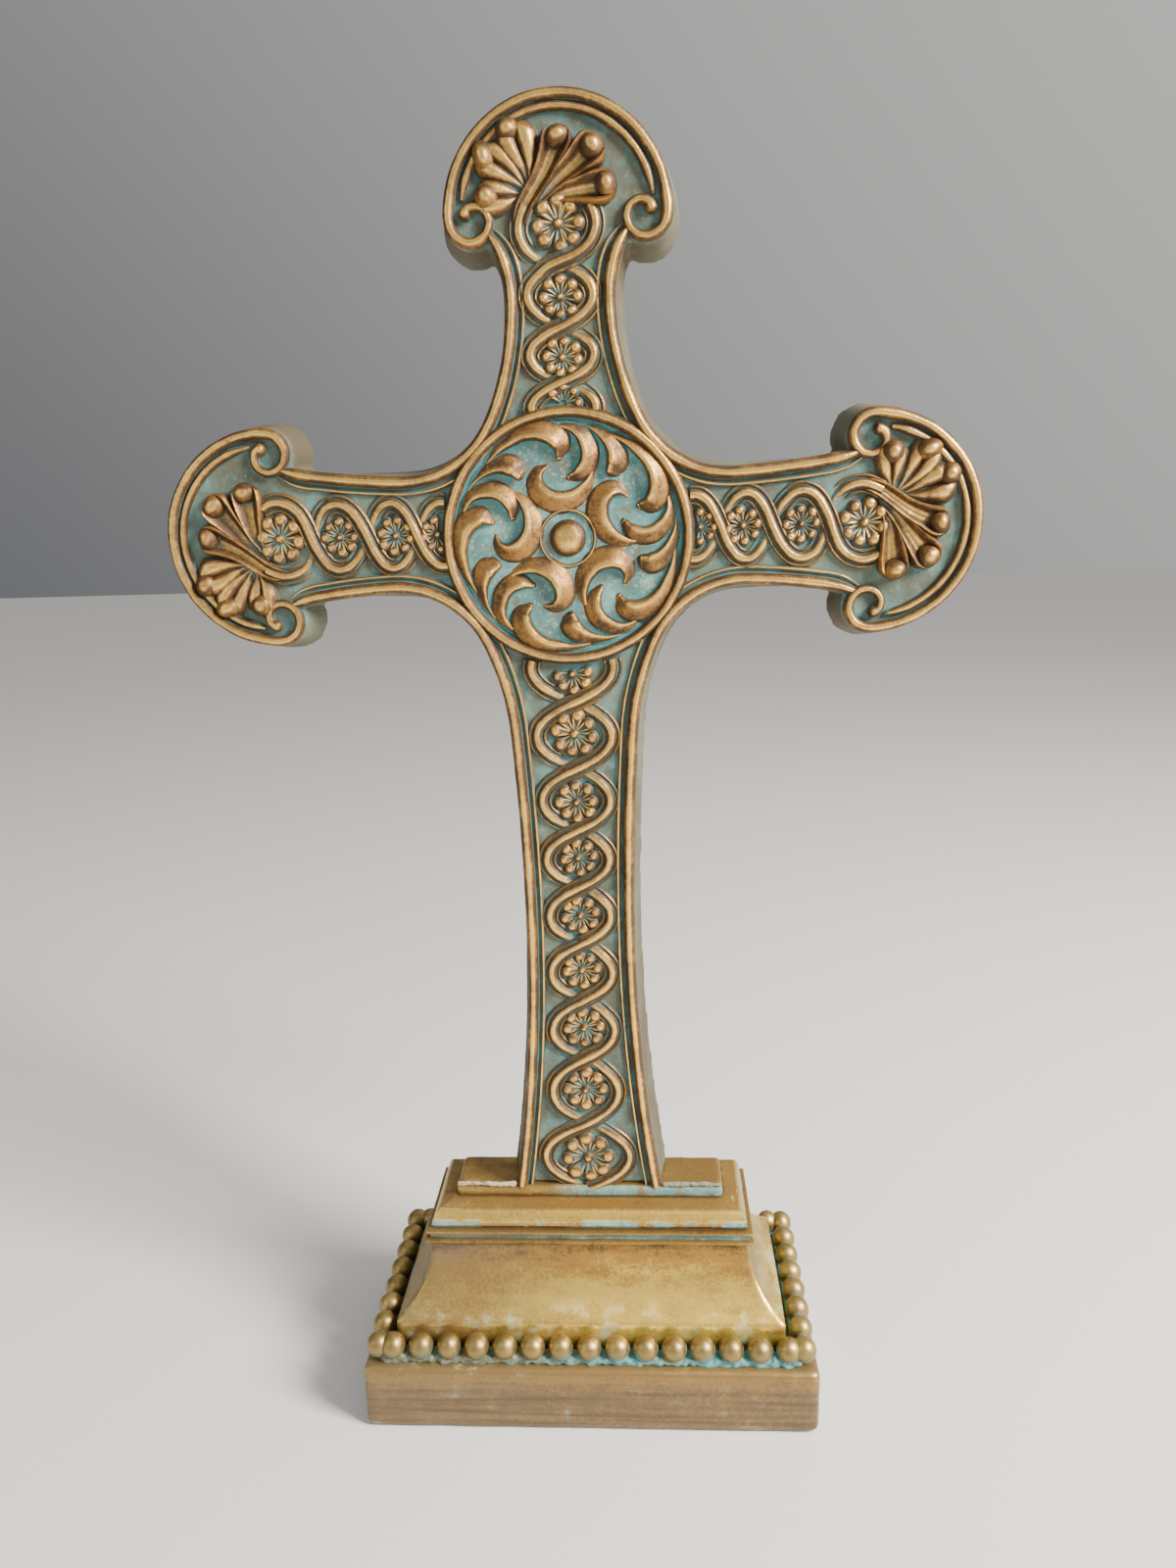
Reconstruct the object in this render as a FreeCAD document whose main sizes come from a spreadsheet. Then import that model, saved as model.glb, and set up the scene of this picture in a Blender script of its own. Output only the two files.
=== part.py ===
import FreeCAD, Part
import math
import os
import Sketcher
from FreeCAD import Placement, Rotation, Vector

# Altar cross on a moulded plinth. Millimetres, +Z up, the front faces -Y.
# The origin is the middle of the base's underside.

SIZES = [
    ("base_width", 144.0), ("base_depth", 75.0),
    ("slab_height", 22.4), ("slab_round", 2.0), ("slab_corner", 2.5),
    ("felt_margin", 7.0), ("felt_thick", 0.8),
    ("bead_radius", 4.0), ("bead_pitch", 8.94), ("bead_height", 26.5),
    ("front_bead_inset", 5.7), ("side_bead_inset", 4.6),
    ("rail_height", 1.6), ("rail_half", 2.4),
    ("cove_foot_inset", 9.8), ("cove_foot", 31.6), ("cove_top_inset", 20.4), ("cove_top", 54.1),
    ("cove_radius", 25.8),
    ("cap_inset", 19.1), ("cap_top", 65.2), ("cap_margin", 1.0),
    ("cap_roll_inset", 2.2), ("cap_roll_foot", 5.3), ("cap_roll_radius", 2.6), ("cap_roll_end", 3.9),
    ("cap_roll_drop", 1.6),
    ("block_inset", 28.4), ("block_top", 68.7),
    ("rod_radius", 3.0), ("rod_clearance", 3.3), ("rod_socket", 46.0), ("rod_end_gap", 1.0),
    ("nut_recess", 8.0), ("nut_recess_radius", 8.5), ("nut_height", 5.0), ("nut_flat", 10.0),
    ("washer_radius", 7.5), ("washer_thick", 1.2),
    ("filler_gap", 0.6), ("filler_end_gap", 0.4), ("filler_width", 2.6), ("filler_crest", 0.5),
    ("filler_height", 1.5),
    ("cross_front", 9.0), ("cross_back", 8.0), ("field_depth", 2.4), ("side_draft", 2.4),
    ("foot_half", 23.4), ("waist_half", 16.4), ("waist_rise", 160.0), ("shaft_flare", 595.0),
    ("shaft_curve", 818.0), ("shoulder_curve", 74.4), ("armpit_curve", 27.0), ("under_curve", 157.0),
    ("over_curve", 234.0), ("neck_curve", 70.0), ("upper_curve", 32.5),
    ("medallion_rise", 275.5), ("arm_rise", 277.5),
    ("shoulder_half", 18.6), ("shoulder_drop", 55.5), ("armpit_half", 25.4), ("armpit_drop", 29.5),
    ("arm_half", 15.9), ("under_start", 49.9), ("over_start", 45.6),
    ("upper_half", 14.6), ("upper_waist", 63.1), ("neck_half", 21.16), ("neck_rise", 33.5),
    ("lobe_reach", 84.3), ("lobe_radius", 30.4), ("scroll_radius", 7.5),
    ("scroll_start", 78.4), ("scroll_half", 18.2), ("top_lobe_drop", 1.6),
    ("edge_inset", 0.3), ("edge_width", 2.9), ("edge_relief", 2.4), ("edge_foot_gap", 0.8), ("eye_extra", 0.4),
    ("ring_radius", 33.9), ("ring_width", 3.0), ("ring_relief", 2.7),
    ("disc_thick", 0.8), ("scroll_relief", 2.0), ("boss_radius", 5.2), ("boss_relief", 3.2),
    ("strand_width", 3.4), ("strand_relief", 1.9), ("rosette_relief", 1.8), ("palmette_relief", 2.6),
    ("palmette_root", 91.8), ("palmette_gap", 8.6), ("stem_foot_half", 1.0), ("stem_half", 2.4),
    ("bulb_radius", 3.0),
]
# The cap moulding's fillets: how far in from the cap's edge, and how far above its underside.
CAP_STEPS = [(0.0, 0.0), (0.0, 1.4), (1.5, 2.0), (1.5, 2.8), (0.8, 3.1), (0.8, 3.9), (2.2, 4.5)]
# The medallion's whirl, five times over: a hook and a leaf, each a band along a circle with
# its centre's distance, its inner and outer radius, and its first and last bearing.
WHIRL_COUNT = 5
HOOK = (18.5, 3.2, 7.6, -150, 120)
LEAF = (0.0, 26.8, 30.0, 24, 52)
STEM_BEARINGS = (-78, -47, -17, 17, 47, 78)
PETAL_COUNT = 8
# Each arm's ornament, outwards from the medallion's centre: a rosette's distance and radius,
# and the two strands' crossings with the half width of the eye that follows each.
UPPER_ROSETTES = [(36.0, 5.6), (47.8, 5.6), (63.0, 5.8), (81.0, 7.4)]
SIDE_ROSETTES = [(37.0, 5.2), (48.9, 5.6), (65.0, 5.6), (82.4, 7.2)]
LOWER_ROSETTES = [(38.5, 6.2), (56.3, 7.4), (77.1, 6.8), (94.5, 6.2), (113.1, 6.3), (131.2, 6.6), (150.8, 7.0),
                  (172.3, 7.6), (197.0, 9.2)]
UPPER_EYES = [(28.0, 10.4), (41.5, 10.9), (55.4, 10.9), (71.6, 12.6), (91.5, 0)]
SIDE_EYES = [(28.0, 10.6), (42.8, 11.8), (57.0, 11.9), (73.7, 13.0), (91.5, 0)]
LOWER_EYES = [(26.0, 13.0), (47.0, 13.6), (67.0, 12.7), (86.0, 12.0), (104.0, 12.0), (122.5, 12.0), (141.5, 12.2),
              (161.5, 13.0), (184.5, 17.0), (208.5, 0)]
ARMS = [("upper", 0, "medallion_rise", UPPER_ROSETTES, UPPER_EYES),
        ("right", 90, "arm_rise", SIDE_ROSETTES, SIDE_EYES),
        ("lower", 180, "medallion_rise", LOWER_ROSETTES, LOWER_EYES),
        ("left", -90, "arm_rise", SIDE_ROSETTES, SIDE_EYES)]

TOUCHING = 1e-4

doc = FreeCAD.newDocument("altar_cross")
sheet = doc.addObject("Spreadsheet::Sheet", "Sizes")
for row, (alias, value) in enumerate(SIZES, start=1):
    sheet.set(f"A{row}", alias)
    sheet.set(f"B{row}", str(value))
    sheet.setAlias(f"B{row}", alias)
doc.recompute()

parts = []


def size(alias):
    return float(getattr(sheet, alias))


def value_of(expression):
    return float(sheet.evalExpression(expression))


def publish(item, label):
    """Keeps an object as a sub-part under its node's name."""
    item.Label = label
    parts.append(item)
    return item


# ---------------------------------------------------------------- drawing helpers

def arc_between(start, end, radius, leftward):
    """The shorter arc from start to end that bulges to the left or the right of its chord."""
    chord = end - start
    half = chord.Length / 2
    bulge = radius - math.sqrt(max(radius * radius - half * half, 0.0))
    side = Vector(-chord.y, chord.x, 0).normalize() * (bulge if leftward else -bulge)
    return Part.Arc(start, (start + end) * 0.5 + side, end)


def end_on(sketch, index, point):
    """Which end of a line lies on a point. A sketch turns its arcs anticlockwise, so their
    start is looked up."""
    return 1 if sketch.getPoint(index, 1).distanceToPoint(point) < TOUCHING else 2


def outline_sketch(body, role, corners, lift="0"):
    """A closed outline on one of the body's planes. A corner is (x, y) or, when an arc leads
    from it to the next corner, (x, y, radius, side), all as expressions of the sheet."""
    plane = next(item for item in body.Origin.OriginFeatures if item.Role == role)
    sketch = body.newObject("Sketcher::SketchObject", "Outline")
    sketch.AttachmentSupport = [(plane, "")]
    sketch.MapMode = "FlatFace"
    sketch.setExpression("AttachmentOffset.Base.z", lift)
    points = [Vector(value_of(corner[0]), value_of(corner[1]), 0) for corner in corners]
    for index, corner in enumerate(corners):
        start = points[index]
        end = points[(index + 1) % len(points)]
        if len(corner) == 4:
            sketch.addGeometry(arc_between(start, end, value_of(corner[2]), corner[3] == "left"), False)
        else:
            sketch.addGeometry(Part.LineSegment(start, end), False)
    for index, corner in enumerate(corners):
        nearest = end_on(sketch, index, points[index])
        following = (index + 1) % len(corners)
        sketch.addConstraint(Sketcher.Constraint(
            "Coincident", index, 3 - nearest, following, end_on(sketch, following, points[following])))
        for kind, text, measure in (("DistanceX", corner[0], points[index].x),
                                    ("DistanceY", corner[1], points[index].y)):
            number = sketch.addConstraint(Sketcher.Constraint(kind, index, nearest, measure))
            sketch.setExpression(f"Constraints[{number}]", text)
        if len(corner) == 4:
            number = sketch.addConstraint(Sketcher.Constraint("Radius", index, value_of(corner[2])))
            sketch.setExpression(f"Constraints[{number}]", corner[2])
    return sketch


def circle_sketch(body, radius, lift="0"):
    sketch = body.newObject("Sketcher::SketchObject", "Circle")
    plane = next(item for item in body.Origin.OriginFeatures if item.Role == "XY_Plane")
    sketch.AttachmentSupport = [(plane, "")]
    sketch.MapMode = "FlatFace"
    sketch.setExpression("AttachmentOffset.Base.z", lift)
    sketch.addGeometry(Part.Circle(Vector(0, 0, 0), Vector(0, 0, 1), value_of(radius)), False)
    sketch.addConstraint(Sketcher.Constraint("Coincident", 0, 3, -1, 1))
    number = sketch.addConstraint(Sketcher.Constraint("Radius", 0, value_of(radius)))
    sketch.setExpression(f"Constraints[{number}]", radius)
    return sketch


def rectangle(width, depth):
    """Corners of a rectangle centred on the sketch's origin."""
    across, along = f"({width}) / 2", f"({depth}) / 2"
    return [(f"-{across}", f"-{along}"), (across, f"-{along}"), (across, along), (f"-{across}", along)]


def pad(body, sketch, length, name="Pad", backwards=False):
    feature = body.newObject("PartDesign::Pad", name)
    feature.Profile = sketch
    feature.setExpression("Length", length)
    feature.Reversed = backwards
    return feature


def pocket(body, sketch, depth, name, backwards):
    """Cuts, and makes sure that the cut removed something."""
    doc.recompute()
    before = body.Shape.Volume
    feature = body.newObject("PartDesign::Pocket", name)
    feature.Profile = sketch
    feature.setExpression("Length", depth)
    feature.Reversed = backwards
    doc.recompute()
    if not body.Shape.Volume < before - 1e-6:
        raise RuntimeError(f"{body.Label}: {name} cuts nothing")
    return feature


def rod_hole(body, bottom, top, radius="Sizes.rod_clearance"):
    """Bores the tie rod's clearance hole from one level to another."""
    sketch = circle_sketch(body, radius, bottom)
    pocket(body, sketch, f"({top}) - ({bottom})", "RodHole", True)


def feature(label, shape):
    item = doc.addObject("Part::Feature", label)
    item.Shape = shape
    return publish(item, label)


# ---------------------------------------------------------------- base

def build_slab():
    body = doc.addObject("PartDesign::Body", "Slab")
    pad(body, outline_sketch(body, "XY_Plane", rectangle("Sizes.base_width", "Sizes.base_depth")),
        "Sizes.slab_height")
    doc.recompute()
    base = body.Tip
    upright = [f"Edge{number}" for number, edge in enumerate(base.Shape.Edges, 1)
               if abs(edge.tangentAt(edge.FirstParameter).z) > 0.99]
    corners = body.newObject("PartDesign::Fillet", "CornerRounds")
    corners.Base = (base, upright)
    corners.setExpression("Radius", "Sizes.slab_corner")
    doc.recompute()
    brim = [f"Edge{number}" for number, edge in enumerate(corners.Shape.Edges, 1)
            if edge.BoundBox.ZMin > size("slab_height") - 0.01]
    shoulder = body.newObject("PartDesign::Fillet", "ShoulderRound")
    shoulder.Base = (corners, brim)
    shoulder.setExpression("Radius", "Sizes.slab_round")
    doc.recompute()
    felt = outline_sketch(body, "XY_Plane", rectangle("Sizes.base_width - 2 * Sizes.felt_margin",
                                                      "Sizes.base_depth - 2 * Sizes.felt_margin"))
    pocket(body, felt, "Sizes.felt_thick", "FeltRecess", True)
    recess = circle_sketch(body, "Sizes.nut_recess_radius", "Sizes.felt_thick")
    pocket(body, recess, "Sizes.nut_recess", "NutRecess", True)
    rod_hole(body, "Sizes.felt_thick + Sizes.nut_recess", "Sizes.slab_height")
    publish(body, "base_slab")


def build_felt():
    body = doc.addObject("PartDesign::Body", "Felt")
    pad(body, outline_sketch(body, "XY_Plane", rectangle("Sizes.base_width - 2 * Sizes.felt_margin",
                                                         "Sizes.base_depth - 2 * Sizes.felt_margin")),
        "Sizes.felt_thick")
    publish(body, "base_felt")


def build_tier(label, bottom, top, steps):
    """A tier with the same moulding on all four sides: the long and the short silhouette,
    each padded across, and what the two have in common. A step is (inset, level[, radius, side])."""
    silhouettes = []
    for role, across, along in (("XZ_Plane", "base_width", "base_depth"),
                                ("YZ_Plane", "base_depth", "base_width")):
        body = doc.addObject("PartDesign::Body", "Silhouette")
        right = [(f"Sizes.{across} / 2 - ({inset})", level) + tuple(arc) for inset, level, *arc in steps]
        left = []
        for index in range(len(steps) - 1, -1, -1):
            inset, level = steps[index][:2]
            arc = steps[index - 1][2:] if index else ()
            left.append((f"-(Sizes.{across} / 2 - ({inset}))", level) + tuple(arc))
        sketch = outline_sketch(body, role, right + left, f"-Sizes.{along} / 2")
        pad(body, sketch, f"Sizes.{along}")
        silhouettes.append(body)
    tier = doc.addObject("Part::MultiCommon", "Tier")
    tier.Shapes = silhouettes
    hole = doc.addObject("Part::Cylinder", "RodHole")
    hole.setExpression("Radius", "Sizes.rod_clearance")
    hole.setExpression("Height", f"({top}) - ({bottom})")
    hole.setExpression("Placement.Base.z", bottom)
    bored = doc.addObject("Part::Cut", "BoredTier")
    bored.Base = tier
    bored.Tool = hole
    publish(bored, label)


def build_block():
    body = doc.addObject("PartDesign::Body", "Block")
    pad(body, outline_sketch(body, "XY_Plane", rectangle("Sizes.base_width - 2 * Sizes.block_inset",
                                                         "Sizes.base_depth - 2 * Sizes.block_inset"),
                             "Sizes.cap_top"), "Sizes.block_top - Sizes.cap_top")
    rod_hole(body, "Sizes.cap_top", "Sizes.block_top")
    publish(body, "plinth_block")


def build_bead_string(label, beads, rail_low, rail_high):
    """Pearls half sunk in the rail that carries them. A bead is an (x, y) pair of expressions,
    and the rail runs between two corners given the same way."""
    rail = doc.addObject("Part::Box", "Rail")
    for name, low, high in zip(("Length", "Width"), rail_low, rail_high):
        rail.setExpression(name, f"({high}) - ({low})")
    rail.setExpression("Height", "Sizes.rail_height")
    rail.setExpression("Placement.Base.x", rail_low[0])
    rail.setExpression("Placement.Base.y", rail_low[1])
    rail.setExpression("Placement.Base.z", "Sizes.slab_height")
    pieces = [rail]
    for across, along in beads:
        pearl = doc.addObject("Part::Sphere", "Pearl")
        pearl.setExpression("Radius", "Sizes.bead_radius")
        pearl.setExpression("Placement.Base.x", across)
        pearl.setExpression("Placement.Base.y", along)
        pearl.setExpression("Placement.Base.z", "Sizes.bead_height")
        pieces.append(pearl)
    string = doc.addObject("Part::MultiFuse", "BeadString")
    string.Shapes = pieces
    publish(string, label)


def build_beads():
    front = "(Sizes.base_depth / 2 - Sizes.front_bead_inset)"
    side = "(Sizes.base_width / 2 - Sizes.side_bead_inset)"
    corner = "(Sizes.bead_pitch * 3.5)"
    for label, sign in (("bead_string_front", "-"), ("bead_string_back", "")):
        row = [(f"{step} * Sizes.bead_pitch", f"{sign}{front}") for step in range(-7, 8)]
        row += [(f"-{side}", f"{sign}{corner}"), (side, f"{sign}{corner}")]
        ends = sorted((f"{sign}{front} - Sizes.rail_half", f"{sign}{front} + Sizes.rail_half"), key=value_of)
        build_bead_string(label, row, (f"-{side} - Sizes.rail_half", ends[0]),
                          (f"{side} + Sizes.rail_half", ends[1]))
    for label, sign in (("bead_string_left", "-"), ("bead_string_right", "")):
        row = [(f"{sign}{side}", f"({step} + 0.5) * Sizes.bead_pitch") for step in range(-3, 3)]
        reach = "(Sizes.bead_pitch * 2.5 + Sizes.bead_radius * 0.5)"
        build_bead_string(label, row, (f"{sign}{side} - Sizes.rail_half", f"-{reach}"),
                          (f"{sign}{side} + Sizes.rail_half", reach))


def build_tie_rod():
    rod = doc.addObject("Part::Cylinder", "TieRod")
    rod.setExpression("Radius", "Sizes.rod_radius")
    rod.setExpression("Height", "Sizes.block_top + Sizes.rod_socket - Sizes.felt_thick - Sizes.rod_end_gap")
    rod.setExpression("Placement.Base.z", "Sizes.felt_thick + Sizes.rod_end_gap")
    publish(rod, "tie_rod")
    shelf = "(Sizes.felt_thick + Sizes.nut_recess)"
    washer = doc.addObject("PartDesign::Body", "Washer")
    pad(washer, circle_sketch(washer, "Sizes.washer_radius", f"{shelf} - Sizes.washer_thick"),
        "Sizes.washer_thick")
    rod_hole(washer, f"{shelf} - Sizes.washer_thick", shelf, "Sizes.rod_radius")
    publish(washer, "rod_washer")
    nut = doc.addObject("PartDesign::Body", "Nut")
    corner = "(Sizes.nut_flat / sqrt(3))"
    seat = f"{shelf} - Sizes.washer_thick - Sizes.nut_height"
    hexagon = [(f"{corner} * {math.cos(math.radians(60 * turn)):.6f}",
                f"{corner} * {math.sin(math.radians(60 * turn)):.6f}") for turn in range(6)]
    pad(nut, outline_sketch(nut, "XY_Plane", hexagon, seat), "Sizes.nut_height")
    rod_hole(nut, seat, f"{shelf} - Sizes.washer_thick", "Sizes.rod_radius")
    publish(nut, "rod_nut")


build_slab()
build_felt()
build_tier("base_cove", "Sizes.slab_height", "Sizes.cove_top", [
    ("Sizes.cove_foot_inset", "Sizes.slab_height"),
    ("Sizes.cove_foot_inset", "Sizes.cove_foot", "Sizes.cove_radius", "left"),
    ("Sizes.cove_top_inset", "Sizes.cove_top")])
build_tier("cap_moulding", "Sizes.cove_top", "Sizes.cap_top", [
    (f"Sizes.cap_inset + {inset}", f"Sizes.cove_top + {rise}") for inset, rise in CAP_STEPS] + [
    ("Sizes.cap_inset + Sizes.cap_roll_inset", "Sizes.cove_top + Sizes.cap_roll_foot",
     "Sizes.cap_roll_radius", "right"),
    ("Sizes.cap_inset + Sizes.cap_roll_end", "Sizes.cap_top - Sizes.cap_roll_drop"),
    ("Sizes.block_inset - Sizes.cap_margin", "Sizes.cap_top")])
build_block()
build_beads()
build_tie_rod()
doc.recompute()

# ---------------------------------------------------------------- cross

def cross_corners():
    """The cross's outline from foot to foot, as seen from the front. The right half is written
    out, and the left half mirrors it."""
    middle, arm = "Sizes.medallion_rise", "Sizes.arm_rise"
    reach, radius = "Sizes.lobe_reach", "Sizes.lobe_radius"
    start, neck, scroll = "Sizes.scroll_start", "Sizes.scroll_half", "Sizes.scroll_radius"
    top = f"({middle} - Sizes.top_lobe_drop)"
    half = [
        ("Sizes.foot_half", "Sizes.block_top", "Sizes.shaft_flare", "left"),
        ("Sizes.waist_half", "Sizes.waist_rise", "Sizes.shaft_curve", "left"),
        ("Sizes.shoulder_half", f"{middle} - Sizes.shoulder_drop", "Sizes.shoulder_curve", "left"),
        ("Sizes.armpit_half", f"{middle} - Sizes.armpit_drop", "Sizes.armpit_curve", "left"),
        ("Sizes.under_start", f"{arm} - Sizes.arm_half", "Sizes.under_curve", "left"),
        (start, f"{arm} - {neck}", scroll, "right"),
        (f"{reach} - {scroll}", f"{arm} - {radius} + {scroll}", scroll, "right"),
        (reach, f"{arm} - {radius}", radius, "right"),
        (f"{reach} + {radius}", arm, radius, "right"),
        (reach, f"{arm} + {radius}", scroll, "right"),
        (f"{reach} - {scroll}", f"{arm} + {radius} - {scroll}", scroll, "right"),
        (start, f"{arm} + {neck}", "Sizes.over_curve", "left"),
        ("Sizes.over_start", f"{arm} + Sizes.arm_half", "Sizes.armpit_curve", "left"),
        ("Sizes.neck_half", f"{middle} + Sizes.neck_rise", "Sizes.neck_curve", "left"),
        ("Sizes.upper_half", f"{middle} + Sizes.upper_waist", "Sizes.upper_curve", "left"),
        (neck, f"{top} + {start}", scroll, "right"),
        (f"{radius} - {scroll}", f"{top} + {reach} - {scroll}", scroll, "right"),
        (radius, f"{top} + {reach}", radius, "right"),
    ]
    crown = ("0", f"{top} + {reach} + {radius}", radius, "right")
    mirrored = []
    for index in range(len(half) - 1, -1, -1):
        across, rise = half[index][:2]
        arc = half[index - 1][2:] if index else ()
        mirrored.append((f"-({across})", rise) + tuple(arc))
    return half + [crown] + mirrored


def spread_out(corners, spread):
    """The same outline pushed outwards by a size of the sheet. Its foot moves only sideways."""
    points = [Vector(value_of(corner[0]), value_of(corner[1]), 0) for corner in corners]
    count = len(corners)
    edges = []
    for index, corner in enumerate(corners):
        ends = points[index], points[(index + 1) % count]
        if len(corner) == 4:
            edges.append(arc_between(*ends, value_of(corner[2]), corner[3] == "left").toShape())
        else:
            edges.append(Part.makeLine(*ends))
    grown = []
    for index, corner in enumerate(corners):
        along = Vector(0, 0, 0)
        for edge in (edges[index - 1], edges[index]):
            at_start = edge.valueAt(edge.FirstParameter).distanceToPoint(points[index]) < TOUCHING
            at_parameter = edge.FirstParameter if at_start else edge.LastParameter
            tangent = edge.tangentAt(at_parameter)
            leaving = edge is edges[index]
            along += tangent if at_start == leaving else tangent * -1
        along.normalize()
        push = Vector(along.y, -along.x, 0)
        if index in (0, count - 1):
            push = Vector(math.copysign(1, points[index].x), 0, 0)
        arc = ()
        if len(corner) == 4:
            arc = (f"{corner[2]} {'-' if corner[3] == 'left' else '+'} {spread}", corner[3])
        grown.append((f"{corner[0]} + {spread} * {push.x:.4f}", f"{corner[1]} + {spread} * {push.y:.4f}") + arc)
    return grown


def build_cross_body():
    """The cast cross: its outline at the sunk field, drawn out wider to the flat back."""
    body = doc.addObject("PartDesign::Body", "Cross")
    corners = cross_corners()
    front = outline_sketch(body, "XZ_Plane", corners, "Sizes.cross_front - Sizes.field_depth")
    back = outline_sketch(body, "XZ_Plane", spread_out(corners, "Sizes.side_draft"), "-Sizes.cross_back")
    doc.recompute()
    loft = body.newObject("PartDesign::AdditiveLoft", "DraftedSides")
    loft.Profile = front
    loft.Sections = [back]
    loft.Ruled = True
    doc.recompute()
    top = "Sizes.block_top + Sizes.rod_socket"
    rod_hole(body, "Sizes.block_top", top, "Sizes.rod_radius")
    publish(body, "cross_body")
    return front


def build_edge_band(outline):
    """The raised edge moulding all round the cross, before it is cut into its lengths."""
    raised_outlines = []
    for name, inset in (("EdgeOuter", "-Sizes.edge_inset"), ("EdgeInner", "-Sizes.edge_inset - Sizes.edge_width")):
        offset = doc.addObject("Part::Offset2D", name)
        offset.Source = outline
        offset.setExpression("Value", inset)
        offset.Fill = False
        drawn = doc.addObject("Part::Extrusion", name + "Raised")
        drawn.Base = offset
        drawn.DirMode = "Custom"
        drawn.Dir = Vector(0, -1, 0)
        drawn.Solid = True
        drawn.setExpression("LengthFwd", "Sizes.edge_relief")
        raised_outlines.append(drawn)
    band = doc.addObject("Part::Cut", "EdgeBand")
    band.Base, band.Tool = raised_outlines
    return band


def boxed(piece, low, high, cutters=()):
    """The part of a piece between two corners in X and Z, given as expressions, and outside
    the cutters."""
    block = doc.addObject("Part::Box", "Reach")
    for name, axis, start, end in (("Length", "x", low[0], high[0]), ("Height", "z", low[1], high[1])):
        block.setExpression(name, f"({end}) - ({start})")
        block.setExpression(f"Placement.Base.{axis}", start)
    block.setExpression("Width", "2 * Sizes.cross_front")
    block.setExpression("Placement.Base.y", "-2 * Sizes.cross_front")
    held = doc.addObject("Part::Common", "Held")
    held.Base = piece
    held.Tool = block
    for cutter in cutters:
        trimmed = doc.addObject("Part::Cut", "Trimmed")
        trimmed.Base = held
        trimmed.Tool = cutter
        held = trimmed
    return held


def ring_void():
    """The round space that the medallion's ring takes up in front of the field."""
    void = doc.addObject("Part::Cylinder", "RingSpace")
    void.setExpression("Radius", "Sizes.ring_radius")
    void.setExpression("Height", "2 * Sizes.cross_front")
    void.Placement = Placement(Vector(0, 0, 0), Rotation(Vector(1, 0, 0), 90))
    void.setExpression("Placement.Base.z", "Sizes.medallion_rise")
    return void


def build_edge_pieces(band):
    """Cuts the edge band into four mouldings that turn the inner corners and three lobe rims,
    each with the eyes of its two scrolls."""
    arm, neck = "Sizes.arm_rise", "(Sizes.lobe_reach - Sizes.scroll_radius - 0.2)"
    top = f"(Sizes.medallion_rise - Sizes.top_lobe_drop + {neck})"
    far, crown = "Sizes.lobe_reach + 2 * Sizes.lobe_radius", f"{top} + 3 * Sizes.lobe_radius"
    foot, half = "Sizes.block_top", "(Sizes.foot_half - Sizes.edge_inset - Sizes.edge_width - Sizes.edge_foot_gap)"
    foot_bar = doc.addObject("Part::Box", "FootBar")
    foot_bar.setExpression("Length", f"2 * {half}")
    foot_bar.setExpression("Placement.Base.x", f"-{half}")
    foot_bar.setExpression("Height", "Sizes.edge_inset + 2 * Sizes.edge_width")
    foot_bar.setExpression("Placement.Base.z", foot)
    foot_bar.setExpression("Width", "4 * Sizes.cross_front")
    foot_bar.setExpression("Placement.Base.y", "-2 * Sizes.cross_front")
    void = ring_void()
    for side, start, end in (("left", f"-{neck}", "0"), ("right", "0", neck)):
        publish(boxed(band, (start, foot), (end, arm), (foot_bar, void)), f"edge_lower_{side}")
        publish(boxed(band, (start, arm), (end, top), (void,)), f"edge_upper_{side}")
    span = "1.2 * Sizes.lobe_radius"
    places = [("left", (f"-({far})", f"{arm} - {span}"), (f"-{neck}", f"{arm} + {span}"), -90),
              ("right", (neck, f"{arm} - {span}"), (far, f"{arm} + {span}"), 90),
              ("top", (f"-{span}", top), (span, crown), 0)]
    for name, low, high, turn in places:
        pieces = [boxed(band, low, high)]
        for side in (-1, 1):
            eye = doc.addObject("Part::Cylinder", "ScrollEye")
            eye.setExpression("Radius", "Sizes.scroll_radius - Sizes.edge_inset - Sizes.edge_width")
            eye.setExpression("Height", "Sizes.edge_relief + Sizes.eye_extra")
            eye.Placement = Placement(Vector(0, 0, 0), Rotation(Vector(1, 0, 0), 90))
            across = f"{side} * (Sizes.lobe_radius - Sizes.scroll_radius)"
            if turn:
                eye.setExpression("Placement.Base.x", f"{turn // 90} * Sizes.lobe_reach")
                eye.setExpression("Placement.Base.z", f"{arm} + {across}")
            else:
                eye.setExpression("Placement.Base.x", across)
                eye.setExpression("Placement.Base.z",
                                  "Sizes.medallion_rise - Sizes.top_lobe_drop + Sizes.lobe_reach")
            eye.setExpression("Placement.Base.y", "-(Sizes.cross_front - Sizes.field_depth)")
            pieces.append(eye)
        rim = doc.addObject("Part::MultiFuse", "LobeRim")
        rim.Shapes = pieces
        publish(rim, f"lobe_rim_{name}")


# ---------------------------------------------------------------- medallion

def turned(kind, name, radius, start, length=""):
    """A round primitive whose axis points out of the front of the cross."""
    item = doc.addObject(kind, name)
    item.Placement = Placement(Vector(0, 0, 0), Rotation(Vector(1, 0, 0), 90))
    item.setExpression("Placement.Base.z", "Sizes.medallion_rise")
    item.setExpression("Placement.Base.y", start)
    item.setExpression("Radius", radius)
    if length:
        item.setExpression("Height", length)
    return item


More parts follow.
